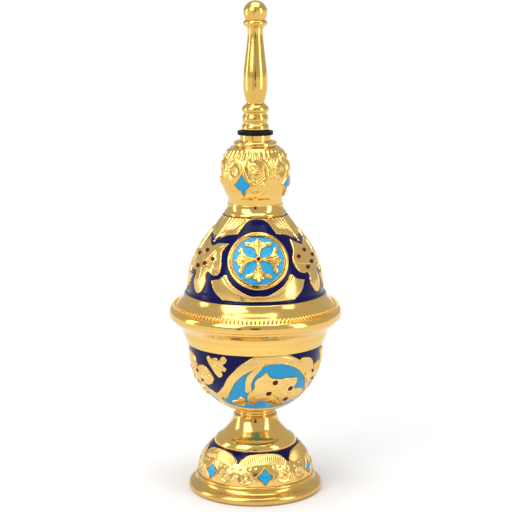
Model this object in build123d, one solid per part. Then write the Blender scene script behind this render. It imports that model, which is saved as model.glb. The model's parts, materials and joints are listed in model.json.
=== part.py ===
from build123d import *

import os
from math import asin, atan2, cos, degrees, pi, radians, sin, sqrt, tan

# Holy water sprinkler: a footed, enamelled brass vessel with a sprinkling spout that screws into its neck.
# Sizes are in millimetres. The origin is the middle of the foot's resting face and +Z is up.
# The front of the vessel faces -Y. Azimuths are in degrees from the front, positive towards +X.
# A turned piece is an outline of (radius, height) points spun about Z.

# Foot: cast base ring, raised bell, petals and enamel
BASE_RADIUS = 34.6
BASE_BORE_RADIUS = 26.0
BASE_EDGE_ROUND = 2.2
BASE_RING_HEIGHT = 8.8
BASE_BEAD_WIDTH = 1.3
BELL_FOOT_RADIUS = 29.0
BELL_BULGE_RADIUS = 20.2
BELL_LEANS = (1.1, 51.8)
BELL_WALL = 1.2
FOOT_PETAL_COUNT = 6
FOOT_PETAL_TURN = 10.0
FOOT_PETAL_LIFT = 0.5
FOOT_PETAL_CUSP_RISE = 10.2
FOOT_PETAL_CROWN_RISE = 15.0
FOOT_LOZENGE_RISE = 4.6
FOOT_LOZENGE_HALF_WIDTH = 4.2
FOOT_LOZENGE_HALF_HEIGHT = 4.2

# Stem: ogee cone, collar, and the stud that clamps foot to bowl
CONE_RADIUS = 21.2
CONE_RISE = 14.9
CONE_SHOULDER = (17.4, 5.0)
CONE_WALL = 1.6
CONE_MOUTH_RADIUS = 11.2
COLLAR_RADIUS = 9.9
COLLAR_HEIGHT = 4.1
COLLAR_SINK = 0.8
COLLAR_GROOVE = 0.6
STUD_RADIUS = 3.0
STUD_HOLE_CLEARANCE = 0.1
STUD_TAIL = 1.5
NUT_ACROSS_FLATS = 10.0
NUT_HEIGHT = 5.0
WASHER_RADIUS = 9.0
WASHER_THICKNESS = 1.2
BOSS_RADIUS = 5.5
BOSS_HEIGHT = 5.5
BOSS_ROOF = 1.5

# Bowl and its rim
BOWL_BULGE_RADIUS = 32.9
BOWL_LEANS = (-73.6, 5.9)
BOWL_WALL = 1.2
BOWL_FLOOR = 1.5
BOWL_CELL_COUNT = 3
BOWL_RIBBON_LIFT = 0.6
BOWL_RIBBON_FOOT = 2.2
NAVY_CELL_TURN = -50.0
NAVY_CELL_RISE = 24.0
SKY_CELL_TURN = 16.0
SKY_CELL_RISE = 18.0
CELL_CUT_DEPTH = 16.0
RIM_HEIGHT = 8.9
RIM_FLARE = 4.3
RIM_WALL = 1.8
RIM_OVERHANG = 1.1
RIM_SPIGOT_DEPTH = 2.5
RIM_SPIGOT_WALL = 1.2

# Flange between rim and dome
FLANGE_RADIUS = 44.2
FLANGE_UNDER_RISE = 3.9
FLANGE_LIP_HEIGHT = 5.2
FLANGE_LIP_ROUND = 1.1
FLANGE_FLARE_RISE = 7.9
FLANGE_WALL = 2.2
FLANGE_LEDGE = 1.9

# Dome
DOME_FOOT_RADIUS = 34.1
DOME_BULGE_RADIUS = 45.7
DOME_LEANS = (1.0, 36.4)
DOME_TOP_RADIUS = 14.4
DOME_WALL = 1.2
ENAMEL = 0.3
APPLIQUE = 0.6
SECTOR_COUNT = 3
MEDALLION_TURN = 3.0
MEDALLION_RISE = 21.4
MEDALLION_RADIUS = 15.1
MEDALLION_RIM_WIDTH = 2.4
MEDALLION_RIM_LIFT = 1.1
CROSS_LIFT = 0.8
CROSS_ARM = 9.8
CROSS_ARM_HALF_WIDTH = 3.0
CROSS_BUD_RADIUS = 1.5
BERRY_RADIUS = 1.0
BERRY_LIFT = 0.4
CRESCENT_GAP = 1.4
CRESCENT_TIP_REACH = 22.5
CRESCENT_CORNER_REACH = 17.6
CRESCENT_DEPTH = 20.2
PETAL_ARCH_RISE = 21.5
PETAL_CUSP_REACH = 9.2
PETAL_TIP_REACH = 22.5
LEAF_RISE = 18.0

# Neck band and knop
NECK_BAND_HEIGHT = 4.9
NECK_BAND_LIP = 1.6
KNOP_NECK_RADIUS = 13.75
KNOP_NECK_HEIGHT = 2.8
KNOP_BULGE_RADIUS = 21.9
KNOP_LEANS = (-32.6, 39.0)
KNOP_WALL = 1.2
KNOP_ROOF = 1.5
KNOP_LOZENGE_COUNT = 4
KNOP_LOZENGE_TURN = -22.0
KNOP_LOZENGE_RISE = 10.8
KNOP_LOZENGE_HALF_WIDTH = 4.3
KNOP_LOZENGE_HALF_HEIGHT = 5.6
LOZENGE_FRAME_WIDTH = 1.0
LOZENGE_FRAME_LIFT = 0.8
KNOP_BEAD_RADIUS = 10.9
KNOP_BEAD_HEIGHT = 3.0

# Screwed joint: bush, sealing washer, nipple
BUSH_COLLAR_RADIUS = 7.7
BUSH_COLLAR_HEIGHT = 3.0
BUSH_BODY_RADIUS = 6.9
BUSH_DEPTH = 8.6
NIPPLE_RADIUS = 4.95
THREAD_CLEARANCE = 0.05
THREAD_ENGAGEMENT = 8.0
GASKET_RADIUS = 8.9
GASKET_THICKNESS = 2.0

# Spout
FITTING_RADIUS = 6.7
FITTING_HEIGHT = 13.7
FITTING_GROOVE = 0.75
FITTING_TOP_RADIUS = 4.6
WATERWAY_RADIUS = 1.6
TENON_RADIUS = 3.0
TENON_LENGTH = 4.0
SPINDLE_LENGTH = 37.7
SPINDLE_BELLY_RADIUS = 6.0
SPINDLE_WAIST_RADIUS = 3.85
SPIGOT_RADIUS = 2.6
SPIGOT_LENGTH = 4.6
SPOUT_RING_RADIUS = 5.95
SPOUT_RING_HEIGHT = 3.4
BALL_RADIUS = 5.95
BALL_NECK_RADIUS = 4.95
BALL_WAIST_RISE = 4.8
BALL_HEIGHT = 9.6
BALL_WALL = 1.3
SPRAY_HOLE_RADIUS = 0.45
SPRAY_HOLE_CIRCLE = 2.4
SPRAY_HOLE_COUNT = 6


def at(radius, height):
    """A point of an outline, in the half plane that is spun about Z."""
    return Vector(radius, 0, height)


def outline(start, *steps):
    """Closes a face from points: (r, z) is a straight step, ((r, z), (r, z)) an arc through a point."""
    edges, here = [], start
    for step in steps:
        if isinstance(step[0], tuple):
            middle, end = step
            edges.append(ThreePointArc(at(*here), at(*middle), at(*end)))
        else:
            end = step
            edges.append(Line(at(*here), at(*end)))
        here = end
    if (at(*here) - at(*start)).length > 0.001:
        edges.append(Line(at(*here), at(*start)))
    return Face(Wire(edges))


def spun(*points):
    """The solid that an outline makes when it is spun about Z."""
    return revolve(outline(*points), Axis.Z)


def tube(outer, inner, low, high):
    """A plain turned ring, or a disc where the inner radius is zero."""
    return spun((inner, low), (outer, low), (outer, high), (inner, high))


def pose(solid, azimuth):
    """Turns a solid that was made at the front round to an azimuth."""
    return Rot(0, 0, azimuth) * solid


def around(solid, count, turn=0.0):
    """Copies of a front piece, evenly spaced about Z, as one group of separate solids."""
    return Compound([pose(solid, turn + k * 360 / count) for k in range(count)])


class Surface:
    """The outside of a turned shell: an arc of one radius, with a tangent cone above it if it has a top.

    A lean is the angle of the surface's normal above the horizontal, and grow moves the surface outwards.
    """

    def __init__(self, radius, height, bulge, leans, top_radius=None):
        self.bulge = bulge
        self.leans = [radians(lean) for lean in leans]
        self.centre_r = radius - bulge * cos(self.leans[0])
        self.centre_z = height - bulge * sin(self.leans[0])
        self.low = height
        self.turn_r, self.turn_z = self.on_arc(self.leans[1], 0)
        self.top = self.turn_z
        if top_radius is not None:
            self.top += (self.turn_r - top_radius) / tan(self.leans[1])

    def on_arc(self, lean, grow):
        """Radius and height at a lean."""
        reach = self.bulge + grow
        return self.centre_r + reach * cos(lean), self.centre_z + reach * sin(lean)

    def radius_at(self, height, grow=0.0):
        """Radius at a height, on the arc or on the cone above it."""
        turn_r, turn_z = self.on_arc(self.leans[1], grow)
        if height > turn_z:
            return turn_r - (height - turn_z) * tan(self.leans[1])
        reach = self.bulge + grow
        return self.centre_r + sqrt(reach**2 - (height - self.centre_z) ** 2)

    def lean_at(self, height):
        """Lean at a height, in degrees."""
        if height > self.turn_z:
            return degrees(self.leans[1])
        return degrees(asin((height - self.centre_z) / self.bulge))

    def steps(self, low, high, grow):
        """Outline steps that follow the surface up from one height to another."""
        turn_z = self.on_arc(self.leans[1], grow)[1]
        path = []
        if low < turn_z - 0.01:
            bend = min(high, turn_z)
            middle = (low + bend) / 2
            path.append(((self.radius_at(middle, grow), middle), (self.radius_at(bend, grow), bend)))
        if high > turn_z + 0.01:
            path.append((self.radius_at(high, grow), high))
        return path

    def steps_down(self, high, low, grow):
        """Outline steps that follow the surface down from one height to another."""
        turn_z = self.on_arc(self.leans[1], grow)[1]
        path = []
        if high > turn_z + 0.01:
            bend = max(low, turn_z)
            path.append((self.radius_at(bend, grow), bend))
        if low < turn_z - 0.01:
            middle = (low + min(high, turn_z)) / 2
            path.append(((self.radius_at(middle, grow), middle), (self.radius_at(low, grow), low)))
        return path

    def band(self, low, high, inner, outer):
        """The turned layer between two growths of the surface, from one height to another."""
        return spun(
            (self.radius_at(low, outer), low),
            *self.steps(low, high, outer),
            (self.radius_at(high, inner), high),
            *self.steps_down(high, low, inner),
        )

    def plane(self, height):
        """The plane that touches the surface at the front: x to the right, y up the surface."""
        lean = radians(self.lean_at(height))
        return Plane(
            origin=(0, -self.radius_at(height), height), x_dir=(1, 0, 0), z_dir=(0, -cos(lean), sin(lean))
        )

    def drawn(self, height, azimuth, rise):
        """Where a point of the surface, by azimuth and height, falls on the plane at the front."""
        radius = self.radius_at(rise)
        point = Vector(radius * sin(radians(azimuth)), -radius * cos(radians(azimuth)), rise)
        local = self.plane(height).to_local_coords(point)
        return local.X, local.Y

    def prism(self, height, sketch, depth):
        """A cutter through the surface at the front, with the outline of a flat sketch."""
        return extrude(self.plane(height) * sketch, amount=depth, both=True)

    def patch(self, height, sketch, reach, inner, outer, depth=6.0):
        """A piece of the layer between two growths, with the outline of a flat sketch."""
        low, high = max(self.low, height - reach), min(self.top, height + reach)
        return self.band(low, high, inner, outer) & self.prism(height, sketch, depth)


def lozenge(half_width, half_height, grow=0.0):
    """A flat lozenge, grown by the same amount all round."""
    slope = sqrt(half_width**2 + half_height**2)
    wide = half_width + grow * slope / half_height
    tall = half_height + grow * slope / half_width
    return make_face(Polyline((wide, 0), (0, tall), (-wide, 0), (0, -tall), close=True))


def petal(length, width, angle):
    """A flat ellipse that grows from a leaf's middle at an angle from straight up."""
    return Rot(0, 0, -angle) * Pos(0, length / 2) * Ellipse(width / 2, length / 2)


def budded_cross():
    """A flat cross whose four flared arms end in three buds."""
    tip, half = CROSS_ARM, CROSS_ARM_HALF_WIDTH
    root = half / 4
    shoulder = tip * 0.82
    flare = make_face(
        [
            ThreePointArc((root, root), (root * 1.9, shoulder * 0.6), (half * 1.4, shoulder)),
            Line((half * 1.4, shoulder), (0, tip)),
            Line((0, tip), (-half * 1.4, shoulder)),
            ThreePointArc((-half * 1.4, shoulder), (-root * 1.9, shoulder * 0.6), (-root, root)),
            Line((-root, root), (root, root)),
        ]
    )
    arm = flare + Pos(0, tip) * Circle(CROSS_BUD_RADIUS)
    for side in (-1, 1):
        arm += Pos(side * half * 1.5, shoulder + CROSS_BUD_RADIUS * 0.4) * Circle(CROSS_BUD_RADIUS * 0.85)
    shape = Circle(half * 0.75)
    for quarter in range(4):
        shape += Rot(0, 0, 90 * quarter) * arm
    return shape


def dome_leaf():
    """A flat leaf with two upright lobes, two wide side lobes and a long lobe below."""
    shape = Circle(4.6) + petal(15.8, 8.6, 180)
    for side in (-1, 1):
        shape += petal(12.8, 6.6, side * 37)
        shape += petal(11.8, 7.2, side * 76)
        shape += petal(11.8, 6.6, side * 113)
    return shape


def curve(*points):
    """A flat face inside a smooth closed curve."""
    return make_face(Spline(*points, periodic=True))


def pointed(*runs):
    """A flat face whose edge is a chain of smooth runs that meet in points."""
    return make_face([Spline(*run) if len(run) > 2 else Line(*run) for run in runs])


def bowl_leaf():
    """The large three-pointed leaf of a light cell, about the cell's middle."""
    left, notch, right, step = (-6.0, 9.2), (-0.6, 4.6), (10.8, 4.6), (9.8, -1.6)
    return pointed(
        (left, (-10.8, 4.4), (-10.6, -1.5), (-12.9, -7.0), (-9.4, -11.6), (-2.3, -10.6), (7.0, -12.2), (13.6, -11.0),
         (15.8, -6.6), step),
        (step, (10.9, 1.4), right),
        (right, (4.6, 4.2), notch),
        (notch, (-2.6, 7.6), left),
    )


def fan_leaf():
    """The fan-shaped leaf of a dark cell."""
    return curve((-12.6, -1.6), (-5.4, 3.2), (0.6, -0.6), (0.6, -4.6), (-5.0, -7.2), (-11.6, -6.2))


def trefoil():
    """The small three-lobed sprig of a dark cell."""
    shape = petal(10.0, 4.4, 158)
    for x, y, radius in ((0.0, 6.6, 1.7), (4.6, 7.2, 2.0), (8.4, 8.4, 1.8), (8.2, 4.0, 1.6), (3.8, 4.0, 3.2)):
        shape += Pos(x, y) * Circle(radius)
    return shape


# Surfaces, from the foot up, each seated on the one below
BELL_SEAT = BASE_RING_HEIGHT
bell = Surface(BELL_FOOT_RADIUS, BELL_SEAT, BELL_BULGE_RADIUS, BELL_LEANS)
CONE_SEAT = bell.top
CONE_TOP = CONE_SEAT + CONE_RISE
COLLAR_SEAT = CONE_TOP - COLLAR_SINK
BOWL_SEAT = COLLAR_SEAT + COLLAR_HEIGHT
bowl = Surface(COLLAR_RADIUS, BOWL_SEAT, BOWL_BULGE_RADIUS, BOWL_LEANS)
BOWL_TOP = bowl.top
RIM_TOP = BOWL_TOP + RIM_HEIGHT
BOWL_EDGE_RADIUS = bowl.radius_at(BOWL_TOP)
RIM_FOOT_RADIUS = BOWL_EDGE_RADIUS + RIM_OVERHANG
RIM_TOP_RADIUS = RIM_FOOT_RADIUS + RIM_FLARE
FLANGE_LIP_LOW = RIM_TOP + FLANGE_UNDER_RISE
FLANGE_LIP_HIGH = FLANGE_LIP_LOW + FLANGE_LIP_HEIGHT
DOME_SEAT = FLANGE_LIP_HIGH + FLANGE_FLARE_RISE
dome = Surface(DOME_FOOT_RADIUS, DOME_SEAT, DOME_BULGE_RADIUS, DOME_LEANS, DOME_TOP_RADIUS)
BAND_SEAT = dome.top
KNOP_SEAT = BAND_SEAT + NECK_BAND_HEIGHT
knop = Surface(KNOP_NECK_RADIUS, KNOP_SEAT + KNOP_NECK_HEIGHT, KNOP_BULGE_RADIUS, KNOP_LEANS)
KNOP_TOP = knop.top
BEAD_TOP = KNOP_TOP + KNOP_BEAD_HEIGHT
BUSH_TOP = BEAD_TOP + BUSH_COLLAR_HEIGHT
FITTING_SEAT = BUSH_TOP + GASKET_THICKNESS
SPINDLE_SEAT = FITTING_SEAT + FITTING_HEIGHT
RING_SEAT = SPINDLE_SEAT + SPINDLE_LENGTH
BALL_SEAT = RING_SEAT + SPOUT_RING_HEIGHT
MEDALLION_HEIGHT = DOME_SEAT + MEDALLION_RISE
STUD_HOLE_RADIUS = STUD_RADIUS + STUD_HOLE_CLEARANCE


def base_ring():
    """Heavy cast ring that the vessel rests on, with a rounded edge, a hollow slope and a bead."""
    edge, edge_round, top = BASE_RADIUS, BASE_EDGE_ROUND, BASE_RING_HEIGHT
    bead = BELL_FOOT_RADIUS + BASE_BEAD_WIDTH
    shoulder = (edge - edge_round * (1 - cos(radians(65))), edge_round * (1 + sin(radians(65))))
    slope_end = (bead + 0.2, top - 1.9)
    hollow = ((shoulder[0] + slope_end[0]) / 2 - 0.35, (shoulder[1] + slope_end[1]) / 2 - 0.35)
    return spun(
        (BASE_BORE_RADIUS, 0),
        (edge - edge_round, 0),
        ((edge, edge_round), shoulder),
        (hollow, slope_end),
        ((bead + 0.25, top - 0.9), (bead - 0.7, top)),
        (BASE_BORE_RADIUS, top),
    )


def foot_bell():
    """Raised bell of the foot, closed on top by a web with a hole for the stud."""
    web = bell.top - BELL_WALL
    return spun(
        (bell.radius_at(bell.low), bell.low),
        *bell.steps(bell.low, bell.top, 0),
        (STUD_HOLE_RADIUS, bell.top),
        (STUD_HOLE_RADIUS, web),
        (bell.radius_at(web, -BELL_WALL), web),
        *bell.steps_down(web, bell.low, -BELL_WALL),
    )


def petal_arches():
    """Cutter with one scalloped arch for each petal of the foot, at the height of the petal layer."""
    cusp, crown = bell.low + FOOT_PETAL_CUSP_RISE, bell.low + FOOT_PETAL_CROWN_RISE
    half = 180 / FOOT_PETAL_COUNT
    middle = (cusp + crown) / 2
    side = (half * 0.72, crown - 1.2)
    arc = ((-half, cusp), (-side[0], side[1]), (0, crown), side, (half, cusp))
    points = [bell.drawn(middle, azimuth, height) for azimuth, height in arc]
    low = bell.drawn(middle, 0, bell.low)[1] - 4
    wide = points[-1][0]
    arch = make_face(
        [Spline(*points), Line(points[-1], (wide, low)), Line((wide, low), (-wide, low)), Line((-wide, low), points[0])]
    )
    return arch, middle


def foot_petals():
    """Layer of six scalloped petals raised from the bell."""
    arch, middle = petal_arches()
    reach = bell.top - bell.low
    return around(bell.patch(middle, arch, reach, 0, FOOT_PETAL_LIFT, depth=8), FOOT_PETAL_COUNT, FOOT_PETAL_TURN)


def foot_enamel():
    """Dark enamel between the petals and the cone, which runs down in a spike between two petals."""
    arch, middle = petal_arches()
    low = bell.low + FOOT_PETAL_CUSP_RISE - 0.6
    layer = bell.band(low, bell.top, 0, ENAMEL)
    for k in range(FOOT_PETAL_COUNT):
        layer -= pose(bell.prism(middle, arch, 8), FOOT_PETAL_TURN + k * 360 / FOOT_PETAL_COUNT)
    return layer


def frames(surface, height, half_width, half_height, lift, count, turn):
    """Raised lozenge frames on a surface."""
    shape = lozenge(half_width, half_height, LOZENGE_FRAME_WIDTH) - lozenge(half_width, half_height)
    reach = half_height + 3 * LOZENGE_FRAME_WIDTH
    return around(surface.patch(height, shape, reach, lift, lift + LOZENGE_FRAME_LIFT, 3), count, turn)


def lozenges(surface, height, half_width, half_height, lift, count, turn):
    """Enamel lozenges that fill the frames."""
    shape = lozenge(half_width, half_height)
    return around(surface.patch(height, shape, half_height + 1, lift, lift + ENAMEL, 3), count, turn)


def foot_cone():
    """Smooth ogee cone over the bell, with a web under its mouth that the collar stands on."""
    edge, mouth = CONE_RADIUS, CONE_MOUTH_RADIUS
    shoulder_r, shoulder_rise = CONE_SHOULDER
    shoulder = (shoulder_r, CONE_SEAT + shoulder_rise)
    crown = ((edge + shoulder_r) / 2 + 0.8, CONE_SEAT + shoulder_rise * 0.58)
    waist = ((shoulder_r + mouth) / 2 - 1.2, CONE_SEAT + shoulder_rise + (CONE_RISE - shoulder_rise) * 0.49)
    inside = (shoulder_r - CONE_WALL, shoulder[1] - CONE_WALL)
    return spun(
        (edge - CONE_WALL, CONE_SEAT),
        (edge, CONE_SEAT),
        (edge, CONE_SEAT + 0.9),
        (crown, shoulder),
        (waist, (mouth, CONE_TOP)),
        (COLLAR_RADIUS, CONE_TOP),
        (COLLAR_RADIUS, COLLAR_SEAT),
        (STUD_HOLE_RADIUS, COLLAR_SEAT),
        (STUD_HOLE_RADIUS, COLLAR_SEAT - CONE_WALL),
        (mouth - CONE_WALL, COLLAR_SEAT - CONE_WALL),
        ((waist[0] - CONE_WALL, waist[1] - CONE_WALL / 2), inside),
        ((crown[0] - CONE_WALL, crown[1] - CONE_WALL), (edge - CONE_WALL, CONE_SEAT + 0.9)),
    )


def stem_collar():
    """Grooved collar between cone and bowl."""
    low, high = COLLAR_SEAT, BOWL_SEAT
    groove = (low + high) / 2 + COLLAR_GROOVE / 2
    return spun(
        (STUD_HOLE_RADIUS, low),
        (COLLAR_RADIUS, low),
        (COLLAR_RADIUS, groove - COLLAR_GROOVE),
        ((COLLAR_RADIUS - COLLAR_GROOVE, groove), (COLLAR_RADIUS, groove + COLLAR_GROOVE)),
        (COLLAR_RADIUS, high),
        (STUD_HOLE_RADIUS, high),
    )


def stem_stud():
    """Stud from the bowl's boss down through the foot; its thread is drawn plain."""
    nut_seat = bell.top - BELL_WALL - WASHER_THICKNESS
    return tube(STUD_RADIUS, 0, nut_seat - NUT_HEIGHT - STUD_TAIL, BOWL_SEAT + BOSS_HEIGHT - BOSS_ROOF)


def stem_washer():
    """Wide washer under the bell's web."""
    top = bell.top - BELL_WALL
    return tube(WASHER_RADIUS, STUD_HOLE_RADIUS, top - WASHER_THICKNESS, top)


def stem_nut():
    """Hexagon nut that draws the foot up to the bowl."""
    top = bell.top - BELL_WALL - WASHER_THICKNESS
    flat = RegularPolygon(NUT_ACROSS_FLATS / 2, 6, major_radius=False) - Circle(STUD_RADIUS)
    return extrude(Pos(0, 0, top - NUT_HEIGHT) * flat, amount=NUT_HEIGHT)


def bowl_shell():
    """Round-bottomed bowl with a floor, and a boss inside that takes the stud."""
    floor = BOWL_SEAT + BOWL_FLOOR
    boss = BOWL_SEAT + BOSS_HEIGHT
    return spun(
        (STUD_RADIUS, BOWL_SEAT),
        (COLLAR_RADIUS, BOWL_SEAT),
        *bowl.steps(BOWL_SEAT, BOWL_TOP, 0),
        (bowl.radius_at(BOWL_TOP, -BOWL_WALL), BOWL_TOP),
        *bowl.steps_down(BOWL_TOP, floor, -BOWL_WALL),
        (BOSS_RADIUS, floor),
        (BOSS_RADIUS, boss),
        (0, boss),
        (0, boss - BOSS_ROOF),
        (STUD_RADIUS, boss - BOSS_ROOF),
    )


def bowl_cell(points, height):
    """A flat closed curve through points of the bowl given by azimuth and height above the bowl's seat."""
    return curve(*[bowl.drawn(height, azimuth, BOWL_SEAT + rise) for azimuth, rise in points])


def navy_cell():
    """The dark cell that hangs from the rim, drawn about its own middle azimuth."""
    points = (
        (-45, 35.4), (-34, 33.0), (-24, 28.8), (-15, 22.4), (-8, 17.6), (-1, 13.8), (5, 12.6), (11, 14.4),
        (19, 18.2), (24, 22.4), (31, 26.8), (40, 31.6), (48, 34.6), (0, 41.0),
    )
    return bowl_cell(points, BOWL_SEAT + NAVY_CELL_RISE)


def sky_cell():
    """The light cell that rises from the bowl's foot under the ribbon."""
    points = (
        (-56, 9.0), (-45, 12.4), (-37, 18.2), (-31, 22.6), (-22, 26.6), (-10, 29.4), (1, 30.8), (12, 29.6),
        (24, 26.0), (33, 21.2), (41, 15.6), (49, 10.6), (52, 7.4), (40, 5.2), (0, 4.4), (-40, 5.2),
    )
    return bowl_cell(points, BOWL_SEAT + SKY_CELL_RISE)


def bowl_navy_enamel():
    """Dark enamel cells under the rim."""
    piece = bowl.patch(BOWL_SEAT + NAVY_CELL_RISE, navy_cell(), 30, 0, ENAMEL, CELL_CUT_DEPTH)
    return around(piece, BOWL_CELL_COUNT, NAVY_CELL_TURN)


def bowl_sky_enamel():
    """Light enamel cells above the foot."""
    piece = bowl.patch(BOWL_SEAT + SKY_CELL_RISE, sky_cell(), 17.5, 0, ENAMEL, CELL_CUT_DEPTH)
    return around(piece, BOWL_CELL_COUNT, SKY_CELL_TURN)


def bowl_ribbon():
    """Gilt ribbon that winds between the dark and the light cells."""
    layer = bowl.band(BOWL_SEAT + BOWL_RIBBON_FOOT, BOWL_TOP, 0, BOWL_RIBBON_LIFT)
    dark = bowl.prism(BOWL_SEAT + NAVY_CELL_RISE, navy_cell(), CELL_CUT_DEPTH)
    light = bowl.prism(BOWL_SEAT + SKY_CELL_RISE, sky_cell(), CELL_CUT_DEPTH)
    for k in range(BOWL_CELL_COUNT):
        layer -= pose(dark, NAVY_CELL_TURN + k * 360 / BOWL_CELL_COUNT)
        layer -= pose(light, SKY_CELL_TURN + k * 360 / BOWL_CELL_COUNT)
    return layer


def bowl_leaves():
    """Gilt leaf in each light cell."""
    piece = bowl.patch(BOWL_SEAT + SKY_CELL_RISE, bowl_leaf(), 15, ENAMEL, ENAMEL + APPLIQUE, 8)
    return around(piece, BOWL_CELL_COUNT, SKY_CELL_TURN + 4)


def bowl_sprigs():
    """Gilt fan leaf and trefoil in each dark cell, cut where they meet the ribbon's edge."""
    height, turn = BOWL_SEAT + NAVY_CELL_RISE, NAVY_CELL_TURN + 8
    under = pose(bowl_ribbon(), -turn)
    shapes = (fan_leaf(), trefoil())
    sprigs = [bowl.patch(height, shape, 13, ENAMEL, ENAMEL + APPLIQUE, 8) - under for shape in shapes]
    turns = [turn + k * 360 / BOWL_CELL_COUNT for k in range(BOWL_CELL_COUNT)]
    return Compound([pose(solid, a) for sprig in sprigs for solid in sprig.solids() for a in turns])


def rim_band():
    """Flaring rim of the bowl, with a spigot that centres it inside the bowl's edge."""
    foot, top = BOWL_TOP, RIM_TOP
    spigot = bowl.radius_at(foot, -BOWL_WALL)
    mid_r = RIM_FOOT_RADIUS + RIM_FLARE * 0.58
    mid_z = foot + RIM_HEIGHT * 0.6
    return spun(
        (spigot - RIM_SPIGOT_WALL, foot - RIM_SPIGOT_DEPTH),
        (spigot, foot - RIM_SPIGOT_DEPTH),
        (spigot, foot),
        (RIM_FOOT_RADIUS, foot),
        (((RIM_FOOT_RADIUS + mid_r) / 2 + 0.35, (foot + mid_z) / 2), (mid_r, mid_z)),
        (((mid_r + RIM_TOP_RADIUS) / 2 - 0.25, (mid_z + top) / 2), (RIM_TOP_RADIUS, top)),
        (RIM_TOP_RADIUS - RIM_WALL, top),
        (mid_r - RIM_WALL, mid_z),
        (spigot - RIM_SPIGOT_WALL, foot + 0.8),
    )


def flange_ring():
    """Wide flange with a rounded lip: a cove below it and a long flare above it up to the dome."""
    low, high, top = FLANGE_LIP_LOW, FLANGE_LIP_HIGH, DOME_SEAT
    lip = FLANGE_RADIUS
    low_r = lip - FLANGE_LIP_ROUND
    top_r = DOME_FOOT_RADIUS + FLANGE_LEDGE
    inner_top = dome.radius_at(top, -DOME_WALL)
    cove = ((RIM_TOP_RADIUS + low_r) / 2 - 0.4, (RIM_TOP + low) / 2 - 0.2)
    flare = ((low_r + top_r) / 2 - 0.5, (high + top) / 2 - 0.1)
    return spun(
        (RIM_TOP_RADIUS - RIM_WALL, RIM_TOP),
        (RIM_TOP_RADIUS, RIM_TOP),
        (cove, (low_r - 0.4, low)),
        (low_r, low + 0.4),
        ((lip, (low + high) / 2), (low_r, high - 0.4)),
        (low_r - 0.4, high),
        (flare, (top_r, top)),
        (inner_top, top),
        ((flare[0] - FLANGE_WALL, flare[1] - FLANGE_WALL / 3), (low_r - FLANGE_WALL, high - 0.4)),
        ((lip - FLANGE_WALL, (low + high) / 2), (low_r - FLANGE_WALL, low + FLANGE_WALL / 2)),
    )


def dome_shell():
    """Onion dome, a thin shell from the flange up to the neck."""
    return dome.band(dome.low, dome.top, -DOME_WALL, 0)


def dome_enamel():
    """Dark enamel over the dome, thickened to a fillet where it meets the flange."""
    fillet_foot = DOME_FOOT_RADIUS + FLANGE_LEDGE * 0.85
    rise = dome.low + 1.4
    top = BAND_SEAT - 1.2
    return spun(
        (dome.radius_at(dome.low), dome.low),
        (fillet_foot, dome.low),
        ((dome.radius_at(rise, ENAMEL) + 0.3, dome.low + 0.5), (dome.radius_at(rise, ENAMEL), rise)),
        *dome.steps(rise, top, ENAMEL),
        (dome.radius_at(top), top),
        *dome.steps_down(top, dome.low, 0),
    )


def petal_window():
    """Flat outline of the opening over a medallion: a high arch between two cusps, and an ear on each side."""
    top, cusp, tip = PETAL_ARCH_RISE, PETAL_CUSP_REACH, PETAL_TIP_REACH
    cusp_y, tip_y = top * 0.66, top * 0.61
    floor = -2 * top
    edges = []
    for side in (1, -1):
        edges += [
            ThreePointArc((0, top), (side * cusp * 0.68, top * 0.86), (side * cusp, cusp_y)),
            ThreePointArc((side * cusp, cusp_y), (side * (cusp + tip) / 2, top * 0.69), (side * tip, tip_y)),
            Line((side * tip, tip_y), (side * tip, floor)),
            Line((side * tip, floor), (0, floor)),
        ]
    return make_face(edges)


def petal_collar():
    """Gilt petals that fall from the neck, with an arched window over each medallion."""
    layer = dome.band(BAND_SEAT - 13.0, BAND_SEAT - 1.2, ENAMEL, ENAMEL + APPLIQUE)
    window = dome.prism(MEDALLION_HEIGHT, petal_window(), 20)
    for k in range(SECTOR_COUNT):
        layer -= pose(window, MEDALLION_TURN + k * 360 / SECTOR_COUNT)
    return layer


def medallion_rims():
    """Raised round frame of each medallion."""
    shape = Circle(MEDALLION_RADIUS) - Circle(MEDALLION_RADIUS - MEDALLION_RIM_WIDTH)
    piece = dome.patch(MEDALLION_HEIGHT, shape, MEDALLION_RADIUS + 1, ENAMEL, ENAMEL + MEDALLION_RIM_LIFT)
    return around(piece, SECTOR_COUNT, MEDALLION_TURN)


def medallion_discs():
    """Light enamel disc inside each frame."""
    shape = Circle(MEDALLION_RADIUS - MEDALLION_RIM_WIDTH)
    piece = dome.patch(MEDALLION_HEIGHT, shape, MEDALLION_RADIUS, ENAMEL, 2 * ENAMEL)
    return around(piece, SECTOR_COUNT, MEDALLION_TURN)


def medallion_crosses():
    """Budded cross on each disc."""
    piece = dome.patch(MEDALLION_HEIGHT, budded_cross(), MEDALLION_RADIUS, 2 * ENAMEL, 2 * ENAMEL + CROSS_LIFT)
    return around(piece, SECTOR_COUNT, MEDALLION_TURN)


def medallion_berries():
    """Dark red bead at the middle of each cross."""
    base = 2 * ENAMEL + CROSS_LIFT
    piece = dome.patch(MEDALLION_HEIGHT, Circle(BERRY_RADIUS), 2, base, base + BERRY_LIFT, 3)
    return around(piece, SECTOR_COUNT, MEDALLION_TURN)


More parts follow.
